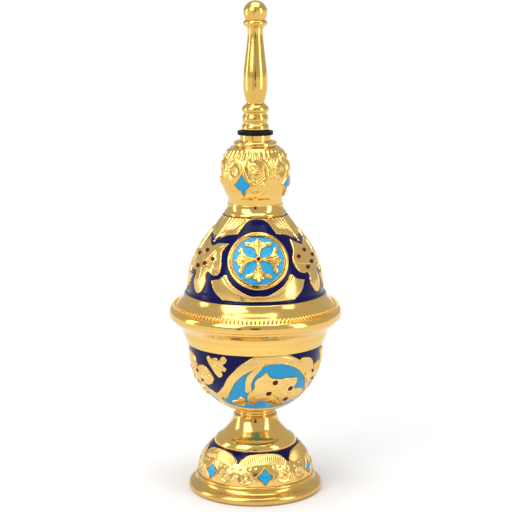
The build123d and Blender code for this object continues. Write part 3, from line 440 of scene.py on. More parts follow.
class Forge:
    """Makes meshes with bmesh operators and finishes them as pieces of the part."""

    @staticmethod
    def outline(loops: Sequence[Sequence[Knot]], closed: bool = True, steps: int = 10) -> bpy.types.Mesh:
        """Turns the given knots into a flat mesh, through a smooth curve.

        Args:
            loops: runs of (x, y) or (x, y, True), where True makes a sharp corner.
            closed: whether each run closes and is filled.
            steps: divisions of the curve between two knots.

        Returns:
            A mesh in the XY plane, filled if it is closed.
        """
        data = bpy.data.curves.new("draft", "CURVE")
        data.dimensions = "2D" if closed else "3D"
        data.resolution_u = steps
        if closed:
            data.fill_mode = "BOTH"
        for loop in loops:
            spline = data.splines.new("BEZIER")
            spline.bezier_points.add(len(loop) - 1)
            spline.use_cyclic_u = closed
            for knot, point in zip(loop, spline.bezier_points):
                point.co = (knot[0], knot[1], 0.0)
                kind = "VECTOR" if len(knot) > 2 and knot[2] else "AUTO"
                point.handle_left_type = point.handle_right_type = kind
        holder = bpy.data.objects.new("draft", data)
        bpy.context.scene.collection.objects.link(holder)
        mesh = bpy.data.meshes.new_from_object(holder)
        bpy.data.objects.remove(holder)
        bpy.data.curves.remove(data)
        return mesh

    @staticmethod
    def turned(knots: Sequence[Knot], segments: int = SLIM_ROUND, closed: bool = True,
               steps: int = 8) -> bmesh.types.BMesh:
        """Spins an outline of (radius, height) knots about Z.

        Args:
            knots: the outline, smooth between knots unless they are marked sharp.
            segments: steps round the axis.
            closed: whether the last knot joins the first.
            steps: divisions of the outline between two knots.

        Returns:
            The spun mesh, in millimetres.
        """
        run = [*knots, knots[0]] if closed else list(knots)
        path = Forge.outline([run], closed=False, steps=steps)
        bm = bmesh.new()
        bm.from_mesh(path)
        bpy.data.meshes.remove(path)
        for vert in bm.verts:
            vert.co = Vector((vert.co.x, 0.0, vert.co.y))
        bmesh.ops.remove_doubles(bm, verts=bm.verts, dist=WELD)
        bmesh.ops.spin(bm, geom=bm.verts[:] + bm.edges[:], cent=(0, 0, 0), axis=(0, 0, 1), dvec=(0, 0, 0),
                       angle=math.tau, steps=segments, use_merge=True, use_duplicate=False)
        bmesh.ops.remove_doubles(bm, verts=bm.verts, dist=WELD)
        bmesh.ops.recalc_face_normals(bm, faces=bm.faces)
        return bm

    @staticmethod
    def relief(loops: Sequence[Sequence[Knot]], placer: Placer, base: float, lift: float, cell: float = 1.0,
               edge: float = 0.3, carve: Carving | None = None,
               free: Callable[[float, float], bool] | None = None, steps: int = 10) -> bmesh.types.BMesh:
        """Raises a soft-edged layer on a surface.

        Args:
            loops: the outline's loops, holes included.
            placer: drops flat points on the surface.
            base: lift of the layer's foot.
            lift: lift of the layer's face.
            cell: size of the grid that lets the layer follow the surface.
            edge: width of the rounded edge.
            carve: lift added to the face, for veins and hatching.
            free: says whether a point of the outline is a free edge; the rest joins a neighbour.
            steps: divisions of the outline between two knots.

        Returns:
            The layer, in millimetres.
        """
        flat = Forge.outline(loops, steps=steps)
        bm = bmesh.new()
        bm.from_mesh(flat)
        bpy.data.meshes.remove(flat)
        bmesh.ops.remove_doubles(bm, verts=bm.verts, dist=CUT)
        rise = bm.verts.layers.float.new("rise")
        bmesh.ops.inset_region(bm, faces=bm.faces, thickness=edge, use_boundary=True, use_even_offset=False)
        for vert in bm.verts:
            rim = vert.is_boundary and (free is None or free(vert.co.x, vert.co.y))
            vert[rise] = 0.0 if rim else 1.0
        slopes = [e for e in bm.edges if e.verts[0].is_boundary != e.verts[1].is_boundary]
        bmesh.ops.subdivide_edges(bm, edges=slopes, cuts=2, use_grid_fill=True)
        Forge.dice(bm, cell)
        bm.verts.ensure_lookup_table()
        x = np.array([v.co.x for v in bm.verts])
        y = np.array([v.co.y for v in bm.verts])
        share = np.sin(np.clip(np.array([v[rise] for v in bm.verts]), 0.0, 1.0) * math.pi / 2)
        top = lift + (carve(x, y) if carve else 0.0)
        for vert, spot in zip(bm.verts, placer(x, y, base + (top - base) * share)):
            vert.co = spot
        bmesh.ops.recalc_face_normals(bm, faces=bm.faces)
        Forge.face_outwards(bm)
        return bm

    @staticmethod
    def face_outwards(bm: bmesh.types.BMesh) -> None:
        """Turns an open layer round if its faces look towards the axis."""
        lean = sum(face.normal.xy.dot(face.calc_center_median().xy) for face in bm.faces)
        if lean < 0.0:
            bmesh.ops.reverse_faces(bm, faces=bm.faces)

    @staticmethod
    def shape(bm: bmesh.types.BMesh, move: Carving) -> bmesh.types.BMesh:
        """Moves a turned mesh in or out along its normals.

        Args:
            bm: the mesh, changed in place.
            move: lift for each azimuth in degrees and height in millimetres.

        Returns:
            The same mesh.
        """
        bm.normal_update()
        spots = np.array([v.co for v in bm.verts])
        normals = np.array([v.normal for v in bm.verts])
        lift = move(np.degrees(np.arctan2(spots[:, 0], -spots[:, 1])), spots[:, 2])
        for vert, spot in zip(bm.verts, spots + normals * lift[:, None]):
            vert.co = spot
        return bm

    @staticmethod
    def dice(bm: bmesh.types.BMesh, cell: float) -> None:
        """Cuts a flat mesh into a grid, so that it can follow a curved surface.

        Args:
            bm: the flat mesh, changed in place.
            cell: spacing of the cuts.
        """
        for axis in (0, 1):
            low = min(v.co[axis] for v in bm.verts)
            high = max(v.co[axis] for v in bm.verts)
            count = int((high - low) / cell)
            for k in range(1, count + 1):
                spot, normal = [0.0, 0.0, 0.0], [0.0, 0.0, 0.0]
                spot[axis], normal[axis] = low + (high - low) * k / (count + 1), 1.0
                bmesh.ops.bisect_plane(bm, geom=bm.verts[:] + bm.edges[:] + bm.faces[:], dist=CUT,
                                       plane_co=spot, plane_no=normal)

    @staticmethod
    def around(bm: bmesh.types.BMesh, count: int, turn: float = 0.0) -> bmesh.types.BMesh:
        """Turns a mesh about Z, and repeats it evenly.

        Args:
            bm: the mesh, changed in place.
            count: how many copies there are in all.
            turn: azimuth of the first, in degrees.

        Returns:
            The same mesh.
        """
        start = Matrix.Rotation(math.radians(turn), 3, "Z")
        bmesh.ops.rotate(bm, verts=bm.verts, cent=(0, 0, 0), matrix=start)
        first = bm.verts[:] + bm.edges[:] + bm.faces[:]
        for k in range(1, count):
            made = bmesh.ops.duplicate(bm, geom=first)["geom"]
            verts = [item for item in made if isinstance(item, bmesh.types.BMVert)]
            step = Matrix.Rotation(math.tau * k / count, 3, "Z")
            bmesh.ops.rotate(bm, verts=verts, cent=(0, 0, 0), matrix=step)
        return bm

    @staticmethod
    def join(*parts: bmesh.types.BMesh) -> bmesh.types.BMesh:
        """Puts several meshes in one, and frees them.

        Returns:
            The joined mesh.
        """
        whole = bmesh.new()
        for part in parts:
            mesh = bpy.data.meshes.new("join")
            part.to_mesh(mesh)
            part.free()
            whole.from_mesh(mesh)
            bpy.data.meshes.remove(mesh)
        return whole

    @staticmethod
    def piece(name: str, bm: bmesh.types.BMesh, finish: Finish, *nodes: str,
              body: Body = Body.VESSEL) -> bpy.types.Object:
        """Finishes a mesh as a piece that stands for some CAD nodes.

        Args:
            name: the piece's name.
            bm: the mesh in millimetres, freed here.
            finish: its material.
            nodes: the CAD nodes that it stands for.
            body: the body that it moves with.

        Returns:
            The new object.
        """
        bmesh.ops.scale(bm, vec=(MM, MM, MM), verts=bm.verts)
        mesh = bpy.data.meshes.new(name)
        bm.to_mesh(mesh)
        bm.free()
        mesh.shade_smooth()
        mesh.materials.append(finish.material())
        made = bpy.data.objects.new(name, mesh)
        bpy.context.scene.collection.objects.link(made)
        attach(made, body.value)
        if nodes:
            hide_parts(*nodes)
        LOG.info("%s: %d faces on %s", name, len(mesh.polygons), body.value)
        return made

    @staticmethod
    def kept(node: bpy.types.Object, finish: Finish) -> None:
        """Gives a CAD node that stays its material.

        Args:
            node: the CAD node's object.
            finish: its material.
        """
        node.data.materials.clear()
        node.data.materials.append(finish.material())


BELL = Meridian(29.0, 8.8, 20.2, (1.1, 51.8))
BOWL = Meridian(9.9, 42.49, 32.9, (-73.6, 5.9))
DOME = Meridian(34.1, 103.33, 45.7, (1.0, 36.4), 14.4)
KNOP = Meridian(13.75, 152.0, 21.9, (-32.6, 39.0))


def span(node: str) -> tuple[float, float]:
    """Lowest and highest height of a CAD node, in millimetres."""
    low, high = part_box(node)
    return low.z / MM, high.z / MM


def ring(radius: float, x: float = 0.0, y: float = 0.0, count: int = 12) -> list[Knot]:
    """Knots of a circle."""
    return [(x + radius * math.cos(math.tau * k / count), y + radius * math.sin(math.tau * k / count))
            for k in range(count)]


def lozenge(width: float, height: float, bow: float = 0.12) -> list[Knot]:
    """Knots of a lozenge whose sides curve slightly inwards."""
    inner = 0.5 - bow / 2
    return [(width, 0.0, True), (width * inner, height * inner), (0.0, height, True),
            (-width * inner, height * inner), (-width, 0.0, True), (-width * inner, -height * inner),
            (0.0, -height, True), (width * inner, -height * inner)]


def fan(centre: tuple[float, float], inner: float, outer: float, first: float, last: float,
        count: int) -> list[tuple[tuple[float, float], ...]]:
    """Straight paths that spread from a centre, between two angles in degrees."""
    paths = []
    for k in range(count):
        angle = math.radians(first + (last - first) * k / (count - 1))
        dx, dy = math.cos(angle), math.sin(angle)
        paths.append(tuple((centre[0] + reach * dx, centre[1] + reach * dy) for reach in (inner, outer)))
    return paths


def dots(placer: Placer, spots: Sequence[tuple[float, float]], radius: float, base: float,
         lift: float) -> bmesh.types.BMesh:
    """Round beads on a surface.

    Args:
        placer: drops flat points on the surface.
        spots: middle of each bead.
        radius: radius of a bead.
        base: lift of its foot.
        lift: lift of its crown.

    Returns:
        The beads, in millimetres.
    """
    return Forge.join(*[Forge.relief([ring(radius, x, y, 8)], placer, base, lift, cell=radius / 3,
                                      edge=radius * 0.35, steps=4)
                        for x, y in spots])


@dataclass(frozen=True)
class Foot:
    """Cast base ring, petalled bell and smooth cone."""

    count: int = 6
    turn: float = 10.0
    scale: float = 0.45
    lozenge_height: float = 13.4

    @property
    def half(self) -> float:
        """Half the width of a petal on the flat drawing."""
        return 180.0 / self.count * self.scale

    def build(self) -> None:
        """Makes the foot's pieces."""
        self.base()
        self.petals()
        self.lozenges()
        self.cone()

    def base(self) -> None:
        """Cast ring with a rounded lip, a hollow and a bead."""
        top = span("base_ring")[1]
        shape = Forge.turned([(26.0, 0.0, True), (32.5, 0.0, True), (34.0, 0.6), (34.58, 2.1), (34.1, 3.5),
                              (33.1, 4.3), (31.7, 4.8), (30.9, 5.4), (30.2, 6.4, True), (30.1, 6.8, True),
                              (30.55, 7.2), (30.6, 8.0), (30.0, 8.6), (29.2, top, True), (26.0, top, True)],
                             FOOT_ROUND)
        Forge.piece("cast_base", shape, CAST_GILT, "base_ring")

    def petals(self) -> None:
        """Six scalloped petals with fanned hatching and scrolls round the lozenges."""
        half, low = self.half, BELL.height
        knots = [(-half, low, True), (half, low, True), (half, 19.0, True), (half * 0.72, 22.6),
                 (half * 0.35, 23.6), (0.0, 23.8), (-half * 0.35, 23.6), (-half * 0.72, 22.6),
                 (-half, 19.0, True)]
        hatch = [Stroke(((k * 1.0, 19.3 - 0.012 * k * k), (k * 1.22, 23.4 - 0.03 * k * k)), 0.22, -0.34)
                 for k in range(-10, 11)]
        curls = (((5.2, 12.2), (6.6, 14.8), (8.8, 15.6), (10.4, 14.2), (9.9, 12.2), (8.4, 12.4)),
                 ((6.4, 11.0), (8.6, 10.0), (11.6, 10.6), (12.9, 13.0)))
        scrolls = [Stroke([(side * x, y) for x, y in path], 0.45, 0.42) for side in (-1, 1) for path in curls]
        pits = [Stroke(((side * x, y), (side * x + 0.05, y)), 0.4, -0.5)
                for side in (-1, 1) for x, y in ((4.6, 17.6), (7.4, 17.4), (11.4, 16.4), (8.9, 13.6))]
        layer = Forge.relief([knots], BELL.unrolled(self.scale), base=0.0, lift=0.62, cell=0.28, edge=0.45,
                             carve=chased(*hatch, *scrolls, *pits),
                             free=lambda x, y: abs(x) < half - HEM and y > low + 0.2)
        Forge.piece("petal_bell", Forge.around(layer, self.count, self.turn), CHASED_GILT, "foot_petals")

    def lozenges(self) -> None:
        """Light enamel lozenges in scrolled frames."""
        placer = BELL.tangent(self.lozenge_height)
        frame = Forge.relief([lozenge(5.5, 5.5), lozenge(3.9, 3.9)], placer, base=0.3, lift=1.25, cell=0.5,
                             edge=0.5)
        Forge.piece("lozenge_frames", Forge.around(frame, self.count, self.turn), POLISHED_GILT,
                    "foot_lozenge_frames")
        fill = Forge.relief([lozenge(4.3, 4.3)], placer, base=0.3, lift=0.9, cell=0.5, edge=0.4)
        Forge.piece("lozenge_enamel", Forge.around(fill, self.count, self.turn), PALE_SKY_GLAZE,
                    "foot_lozenges")

    def cone(self) -> None:
        """Polished ogee cone and the grooved collar above it."""
        low, high = span("foot_cone")
        cone = Forge.turned([(19.8, low, True), (21.2, low, True), (21.2, low + 0.9), (20.3, low + 2.7),
                             (19.0, low + 3.9), (17.4, low + 5.0), (15.2, low + 7.2), (13.1, low + 9.9),
                             (11.8, low + 12.6), (11.2, high, True), (9.0, high, True),
                             (9.0, high - 2.0, True)], FOOT_ROUND)
        Forge.piece("polished_cone", cone, POLISHED_GILT, "foot_cone")
        low, high = span("stem_collar")
        collar = Forge.turned([(3.2, low, True), (9.7, low, True), (9.9, low + 0.25), (9.9, low + 0.9),
                               (9.35, low + 1.2), (9.85, low + 1.5), (9.9, low + 2.4), (9.35, low + 2.75),
                               (9.85, low + 3.05), (9.9, high - 0.2), (9.7, high, True), (3.2, high, True)])
        Forge.piece("ringed_collar", collar, POLISHED_GILT, "stem_collar")


@dataclass(frozen=True)
class Bowl:
    """Winding ribbon, leaves and sprigs on the bowl, and the rim and flange above."""

    count: int = 3
    scale: float = 0.55
    leaf_turn: float = 20.0
    leaf_height: float = 60.5
    sprig_turn: float = -42.0
    sprig_height: float = 66.5
    dentil_count: int = 124
    dentil_size: tuple[float, float, float] = (1.2, 2.3, 1.5)
    dentil_edge: float = 0.28
    dentil_lean: float = -36.0
    dentil_spot: tuple[float, float] = (41.3, 10.4)

    def build(self) -> None:
        """Makes the bowl's pieces."""
        self.ribbon()
        self.leaves()
        self.sprigs()
        self.rim()
        self.flange()
        self.dentils()

    def ribbon(self) -> None:
        """Gilt ribbon between the dark and the light cells, with a chased line along both edges."""
        left = [(-2, 77.1, True), (-10, 74.1), (-19, 69.3), (-26, 64.9), (-31, 60.7), (-39, 56.9),
                (-45, 55.1, True)]
        right = [(75, 55.1, True), (69, 56.3), (62, 60.1), (55, 64.9), (46, 71.3), (36, 75.5),
                 (25, 77.4, True)]
        cell = [(-40, 51.5), (-29, 54.9), (-21, 60.7), (-15, 65.1), (-6, 69.1), (6, 71.9), (17, 73.3),
                (28, 72.1), (40, 68.5), (49, 63.7), (57, 58.1), (65, 53.1), (68, 49.9), (56, 47.7),
                (16, 46.9), (-24, 47.7)]
        edge = [(-45, 44.7, True), (75, 44.7, True), *right, (-1, 77.4, True), *left]
        loops = [[(knot[0] * self.scale, *knot[1:]) for knot in loop] for loop in (edge, cell)]
        lines = [Stroke([(a * self.scale, z) for a, z, *_ in run], 0.14, -0.1, 0.8)
                 for run in (left, right, cell + cell[:1])]
        side = (-45 * self.scale, 75 * self.scale)
        layer = Forge.relief(loops, BOWL.unrolled(self.scale), base=-0.05, lift=0.62, cell=0.6, edge=0.3,
                             carve=chased(*lines), free=lambda x, y: side[0] + HEM < x < side[1] - HEM)
        Forge.piece("ribbon", Forge.around(layer, self.count), CHASED_GILT, "bowl_ribbon")

    def leaves(self) -> None:
        """Chased leaf, vine and small leaf in each light cell."""
        placer = BOWL.tangent(self.leaf_height)
        leaf = [(-6.0, 9.2, True), (-8.8, 6.3), (-11.1, 4.1), (-11.2, -0.7), (-13.1, -4.6), (-12.6, -9.0),
                (-9.6, -12.4), (-6.9, -8.6), (-2.3, -10.3), (2.4, -13.7), (7.3, -12.4), (12.0, -11.9),
                (16.2, -9.0), (15.2, -4.6), (9.8, -1.5), (10.8, 0.9), (10.8, 4.4, True), (4.1, 5.3),
                (0.1, 5.3), (-3.3, 6.2)]
        veins = [Stroke(path, 0.2, -0.3) for path in (
            ((-3.6, -3.2), (4.5, 0.4), (7.0, 1.8)), ((-3.6, -3.2), (-6.5, -5.2), (-9.4, -6.2)),
            ((0.6, -4.0), (6.2, -4.6), (9.0, -6.0)), ((-1.2, -4.6), (1.2, -7.0), (3.2, -10.6)))]
        hatch = [Stroke(path, 0.16, -0.26) for path in fan((3.6, -6.6), 4.6, 11.0, -34.0, 24.0, 9)]
        main = Forge.relief([leaf], placer, base=0.15, lift=1.0, cell=0.34, edge=0.32,
                            carve=chased(*veins, *hatch))
        vine = Forge.relief([[(-7.4, 12.8), (-12.6, 9.2), (-15.1, 5.2), (-15.2, -0.5), (-14.0, -4.1),
                              (-12.2, -3.0), (-12.5, 2.0), (-11.3, 6.0), (-8.4, 10.4)]], placer, base=0.15,
                            lift=0.9, cell=0.6, edge=0.3)
        small = Forge.relief([[(-18.3, -14.1), (-16.7, -10.7), (-16.2, -8.5), (-14.1, -8.5), (-13.3, -10.8),
                               (-13.0, -15.0), (-15.8, -14.5)]], placer, base=0.15, lift=0.9, cell=0.6,
                             edge=0.35)
        Forge.piece("bowl_foliage", Forge.around(Forge.join(main, vine, small), self.count, self.leaf_turn),
                    CHASED_GILT, "bowl_leaves")
        beads = dots(placer, ((-1.3, 3.4), (-3.6, -3.2), (7.6, -1.6), (6.5, -8.9)), radius=1.5, base=0.9,
                     lift=1.3)
        Forge.piece("bowl_dots", Forge.around(beads, self.count, self.leaf_turn), RED_GLAZE)

    def sprigs(self) -> None:
        """Trefoil, hatched fan leaf and blade in each dark cell."""
        placer = BOWL.tangent(self.sprig_height)
        trefoil = [(-1.9, 8.4), (-0.8, 9.3), (1.0, 8.3), (2.2, 8.4), (3.6, 9.0), (5.2, 8.4), (6.0, 7.7),
                   (6.7, 9.0), (8.4, 9.8), (10.1, 8.2), (9.6, 6.4), (8.2, 5.3), (9.7, 3.8), (8.9, 1.9),
                   (7.2, 2.1), (7.2, -0.2), (5.4, -1.4), (3.9, -0.4), (1.0, 3.4), (-1.3, 6.6)]
        leaf = [(-15.9, -2.2), (-11.0, 1.1), (-5.1, 3.8), (-1.1, 1.9), (1.3, -1.6), (1.0, -3.9), (-2.9, -6.9),
                (-6.3, -7.1), (-10.2, -7.4), (-12.8, -5.7)]
        blade = [(-19.7, 6.3), (-16.5, 7.1), (-12.3, 5.6), (-10.9, 1.4), (-15.4, -1.3), (-19.5, 1.4)]
        comb = [Stroke(path, 0.2, -0.4) for path in fan((-6.5, -5.0), 5.2, 7.8, 125.0, 45.0, 8)]
        veins = [Stroke(path, 0.14, -0.16) for path in fan((-14.0, -2.0), 4.0, 14.0, -30.0, 14.0, 6)]
        fold = Stroke(((2.4, 4.6), (4.6, 5.4), (6.6, 4.6)), 0.2, -0.2)
        made = [Forge.relief([trefoil], placer, base=0.15, lift=1.0, cell=0.4, edge=0.35,
                             carve=chased(fold)), Forge.relief([leaf], placer, base=0.15, lift=1.1,
                                                               cell=0.3, edge=0.35,
                                                               carve=chased(*comb, *veins)),
                Forge.relief([blade], placer, base=0.15, lift=0.95, cell=0.6, edge=0.4), ]
        Forge.piece("bowl_sprays", Forge.around(Forge.join(*made), self.count, self.sprig_turn),
                    CHASED_GILT, "bowl_sprigs")
        beads = dots(placer, ((-10.4, -0.6), (-7.6, -5.2)), radius=0.95, base=1.0, lift=1.4)
        Forge.piece("spray_dots", Forge.around(beads, self.count, self.sprig_turn), RED_GLAZE)

    def rim(self) -> None:
        """Polished rim that flares from the bowl to the flange."""
        low, high = span("rim_band")
        foot = low + 2.5
        shape = Forge.turned([(33.0, foot, True), (34.4, foot, True), (34.9, foot + 0.25),
                              (35.3, foot + 1.1), (35.9, foot + 2.5), (36.6, foot + 4.3),
                              (36.95, foot + 5.4), (37.3, foot + 6.7), (37.9, foot + 7.8),
                              (38.7, high, True), (35.0, high, True)], BODY_ROUND)
        Forge.piece("polished_rim", shape, POLISHED_GILT, "rim_band")

    def flange(self) -> None:
        """Wide flange: a cove, a rounded lip between two fine lines, and a flare up to the dome."""
        low, high = span("flange_ring")
        shape = Forge.turned([(36.9, low, True), (38.7, low, True), (39.7, low + 0.9), (41.2, low + 2.2),
                              (42.3, low + 3.3), (42.5, low + 3.75, True), (42.9, low + 4.0),
                              (43.7, low + 4.6), (44.06, low + 5.7), (44.14, low + 6.5), (44.04, low + 7.3),
                              (43.75, low + 8.2), (43.3, low + 8.9), (43.05, low + 9.1, True),
                              (42.3, low + 8.9, True), (42.0, low + 9.6, True), (40.9, low + 10.5),
                              (39.4, low + 12.3), (37.6, low + 14.6), (36.2, high, True),
                              (33.0, high, True)], BODY_ROUND)
        Forge.piece("moulded_flange", shape, POLISHED_GILT, "flange_ring")

    def dentils(self) -> None:
        """Row of small blocks along the flange's shoulder."""
        block = bmesh.new()
        bmesh.ops.create_cube(block, size=1.0)
        bmesh.ops.scale(block, vec=self.dentil_size, verts=block.verts)
        bmesh.ops.bevel(block, geom=block.edges[:], offset=self.dentil_edge, offset_type="OFFSET",
                        affect="EDGES", segments=2, profile=0.5, material=-1)
        lean = Matrix.Rotation(math.radians(self.dentil_lean), 3, "X")
        bmesh.ops.rotate(block, verts=block.verts, cent=(0, 0, 0), matrix=lean)
        radius, rise = self.dentil_spot
        spot = (0.0, -radius, span("flange_ring")[0] + rise)
        bmesh.ops.translate(block, vec=spot, verts=block.verts)
        Forge.piece("dentils", Forge.around(block, self.dentil_count), POLISHED_GILT)


@dataclass(frozen=True)
class Dome:
    """Enamelled onion dome with medallions, crescents, leaves and a petal collar."""

    count: int = 3
    turn: float = 3.0
    medallion: float = 124.73
    leaf: float = 121.4
    scale: float = 0.35
    rows: int = 14

    @property
    def half_turn(self) -> float:
        """Half of one repeat, in degrees."""
        return 180.0 / self.count

    def build(self) -> None:
        """Makes the dome's pieces."""
        self.ground()
        self.collar()
        self.medallions()
        self.crosses()
        self.crescents()
        self.leaves()

    def ground(self) -> None:
        """Dark enamel from the flange to the collar."""
        low, high = span("dome_enamel")
        heights = np.linspace(low + 1.4, high, self.rows)
        points = DOME.point(np.zeros(self.rows), heights, np.full(self.rows, 0.3))
        knots = [(33.0, low, True), (35.7, low, True), (34.7, low + 0.5), *[(-p[1], p[2]) for p in points]]
        shape = Forge.turned([*knots, (14.0, high, True)], BODY_ROUND, closed=False)
        Forge.piece("dome_glaze", shape, NAVY_GLAZE, "dome_enamel")

    def collar(self) -> None:
        """Pleated petals that fall from the neck, with an arched window over each medallion."""
        top = span("petal_collar")[1] - 0.4
        plane = [(21.2, 13.4, True), (15.9, 14.8), (9.4, 14.2, True), (7.4, 17.0), (4.4, 20.6), (0.0, 21.6),
                 (-4.4, 20.6), (-7.4, 17.0), (-9.4, 14.2, True), (-15.9, 14.8), (-21.2, 13.4, True)]
        spots = DOME.tangent(self.medallion)(np.array([k[0] for k in plane]), np.array([k[1] for k in plane]),
                                             np.zeros(len(plane)))
        edge = []
        for knot, spot in zip(plane, spots):
            turn = math.degrees(math.atan2(spot[0], -spot[1]))
            if len(knot) > 2 and abs(knot[0]) > 20.0:
                turn = math.copysign(self.half_turn, turn)
            edge.append((turn * self.scale, float(spot[2]), *knot[2:]))
        half = self.half_turn * self.scale
        loop = [(-half, top, True), (half, top, True), *edge]
        tip = min(knot[1] for knot in edge) + 1.0
        ends = [half * (0.34 + 0.13 * k) for k in range(5)]
        folds = [Stroke(((side * half * 0.97, tip), (side * end, top - 0.6)), 0.42, -0.42)
                 for side in (-1, 1) for end in ends]
        layer = Forge.relief([loop], DOME.unrolled(self.scale), base=0.2, lift=1.0, cell=0.3, edge=0.3,
                             carve=chased(*folds), free=lambda x, y: abs(x) < half - HEM and y < top - 0.05)
        Forge.piece("pleated_collar", Forge.around(layer, self.count, self.turn), CHASED_GILT, "petal_collar")

    def medallions(self) -> None:
        """Rolled rim and recessed light enamel of each medallion."""
        placer = DOME.tangent(self.medallion)
        rim = Forge.relief([ring(15.1, count=16), ring(12.9, count=16)], placer, base=0.1, lift=1.5,
                           cell=0.8, edge=0.95)
        line = Forge.relief([ring(12.95, count=16), ring(12.35, count=16)], placer, base=0.3, lift=1.0,
                            cell=0.8, edge=0.22)
        Forge.piece("medallion_rolls", Forge.around(Forge.join(rim, line), self.count, self.turn),
                    POLISHED_GILT, "medallion_rims")

        def hollows(x: Array, y: Array) -> Array:
            """Four pointed ovals between the arms of the cross, each with a fine raised edge."""
            along, across = (np.abs(x) + np.abs(y)) / math.sqrt(2), (np.abs(x) - np.abs(y)) / math.sqrt(2)
            depth = 1.6 - (np.abs(along - 7.6) / 4.2) ** 2 - (np.abs(across) / 1.9) ** 2
            return 0.22 * np.exp(-((depth / 0.22) ** 2)) - 0.26 * np.clip(depth, 0.0, 1.0)

        disc = Forge.relief([ring(12.6, count=16)], placer, base=0.2, lift=0.62, cell=0.35, edge=0.3,
                            carve=hollows)
        Forge.piece("medallion_glaze", Forge.around(disc, self.count, self.turn), PALE_SKY_GLAZE,
                    "medallion_discs")

    def crosses(self) -> None:
        """Fleur-ended cross with ribs and a boss that holds a red bead."""
        placer = DOME.tangent(self.medallion)
        half = [(1.05, 2.6), (1.6, 4.7), (2.9, 6.1), (4.4, 6.8), (6.0, 7.2), (6.7, 8.4), (5.7, 9.5),
                (4.2, 9.3), (3.1, 8.9), (2.6, 9.7), (1.3, 10.0), (0.7, 11.0)]
        arm = [(0.95, 0.95, True), *half, (0.0, 11.6), *[(-x, y) for x, y in reversed(half)]]
        grooves = [((side * 0.5, 3.6), (side * 1.0, 6.6), (side * 1.9, 9.0)) for side in (-1, 1)]
        ribs = [((0.0, 2.0), (0.0, 10.8)),
                *[((side * 0.8, 3.0), (side * 1.7, 6.0), (side * 3.4, 7.8), (side * 6.0, 8.3))
                  for side in (-1, 1)]]
        loop, strokes = [], []
        for cos, sin in ((1, 0), (0, 1), (-1, 0), (0, -1)):
            loop += [(x * cos - y * sin, x * sin + y * cos, *rest) for x, y, *rest in reversed(arm)]
            for paths, width, height in ((grooves, 0.3, -0.45), (ribs, 0.4, 0.35)):
                strokes += [Stroke([(x * cos - y * sin, x * sin + y * cos) for x, y in path], width, height)
                            for path in paths]
        cross = Forge.relief([loop], placer, base=0.45, lift=1.25, cell=0.28, edge=0.35,
                             carve=chased(*strokes))
        boss = Forge.relief([ring(1.9, count=8)], placer, base=0.9, lift=1.85, cell=0.4, edge=0.7)
        Forge.piece("fleur_crosses", Forge.around(Forge.join(cross, boss), self.count, self.turn),
                    POLISHED_GILT, "medallion_crosses")
        bead = dots(placer, ((0.0, 0.0),), radius=0.9, base=1.6, lift=2.2)
        Forge.piece("cross_beads", Forge.around(bead, self.count, self.turn), RED_GLAZE,
                    "medallion_berries")

    def crescents(self) -> None:
        """Crescent with a raised inner edge below each medallion."""
        run = [(0.0, -17.5), (4.6, -16.9), (8.0, -15.2, True), (11.6, -12.4), (14.2, -8.8), (15.6, -6.1),
               (19.0, -7.5), (22.8, -7.0, True), (21.4, -12.6), (17.6, -17.8, True), (9.0, -19.7),
               (0.0, -20.2)]
        loop = run + [(-knot[0], *knot[1:]) for knot in reversed(run[1:-1])]

        def ridge(x: Array, y: Array) -> Array:
            """Raised line along the inner edge, with a groove below it."""
            reach = np.hypot(x, y + 1.0)
            line = 0.3 * np.exp(-(((reach - 17.1) / 0.35) ** 2))
            return line - 0.16 * np.exp(-(((reach - 17.8) / 0.2) ** 2))

        layer = Forge.relief([loop], DOME.tangent(self.medallion), base=0.2, lift=1.0, cell=0.5, edge=0.35,
                             carve=ridge)
        Forge.piece("crescent_cradles", Forge.around(layer, self.count, self.turn), CHASED_GILT, "crescents")

    def leaves(self) -> None:
        """Five-lobed leaf with veins and dark red beads between two medallions."""
        placer = DOME.tangent(self.leaf)
        outline = [(-6.2, 13.6, True), (-2.0, 10.4), (1.0, 9.4), (4.4, 11.2), (10.2, 12.4, True),
                   (9.3, 7.9), (10.8, 3.9), (11.8, 1.7), (12.6, -2.4), (10.9, -4.9), (4.7, -4.7),
                   (5.6, -9.0), (0.9, -15.5), (-4.5, -10.7), (-4.6, -5.2), (-8.2, -4.6), (-11.3, -2.2),
                   (-11.8, 3.5), (-8.5, 8.2)]
        veins = [Stroke(path, 0.22, -0.24) for path in (
            ((0.6, -0.6), (-2.6, 5.0), (-5.0, 11.0)), ((0.6, -0.6), (4.6, 5.4), (8.4, 10.6)),
            ((1.6, -1.6), (6.0, -1.0), (10.4, -2.0)), ((-0.6, -1.6), (-6.0, -0.6), (-9.8, 0.4)),
            ((0.4, -3.0), (1.0, -8.0), (0.9, -13.0)))]
        domes = [Stroke(((x, y), (x + 0.1, y)), 2.6, 0.45)
                 for x, y in ((-4.4, 7.0), (6.4, 6.6), (8.4, -1.2), (-8.0, 0.6), (0.8, -9.6))]
        layer = Forge.relief([outline], placer, base=0.2, lift=0.85, cell=0.36, edge=0.35,
                             carve=chased(*veins, *domes))
        turn = self.turn + self.half_turn
        Forge.piece("dome_foliage", Forge.around(layer, self.count, turn), CHASED_GILT, "dome_leaves")
        beads = dots(placer, ((-0.9, 6.2), (-7.7, 4.0), (6.0, 2.7), (1.4, -0.4), (-4.0, -2.3)), radius=1.15,
                     base=0.85, lift=1.6)
        Forge.piece("dome_dots", Forge.around(beads, self.count, turn), RED_GLAZE, "leaf_berries")


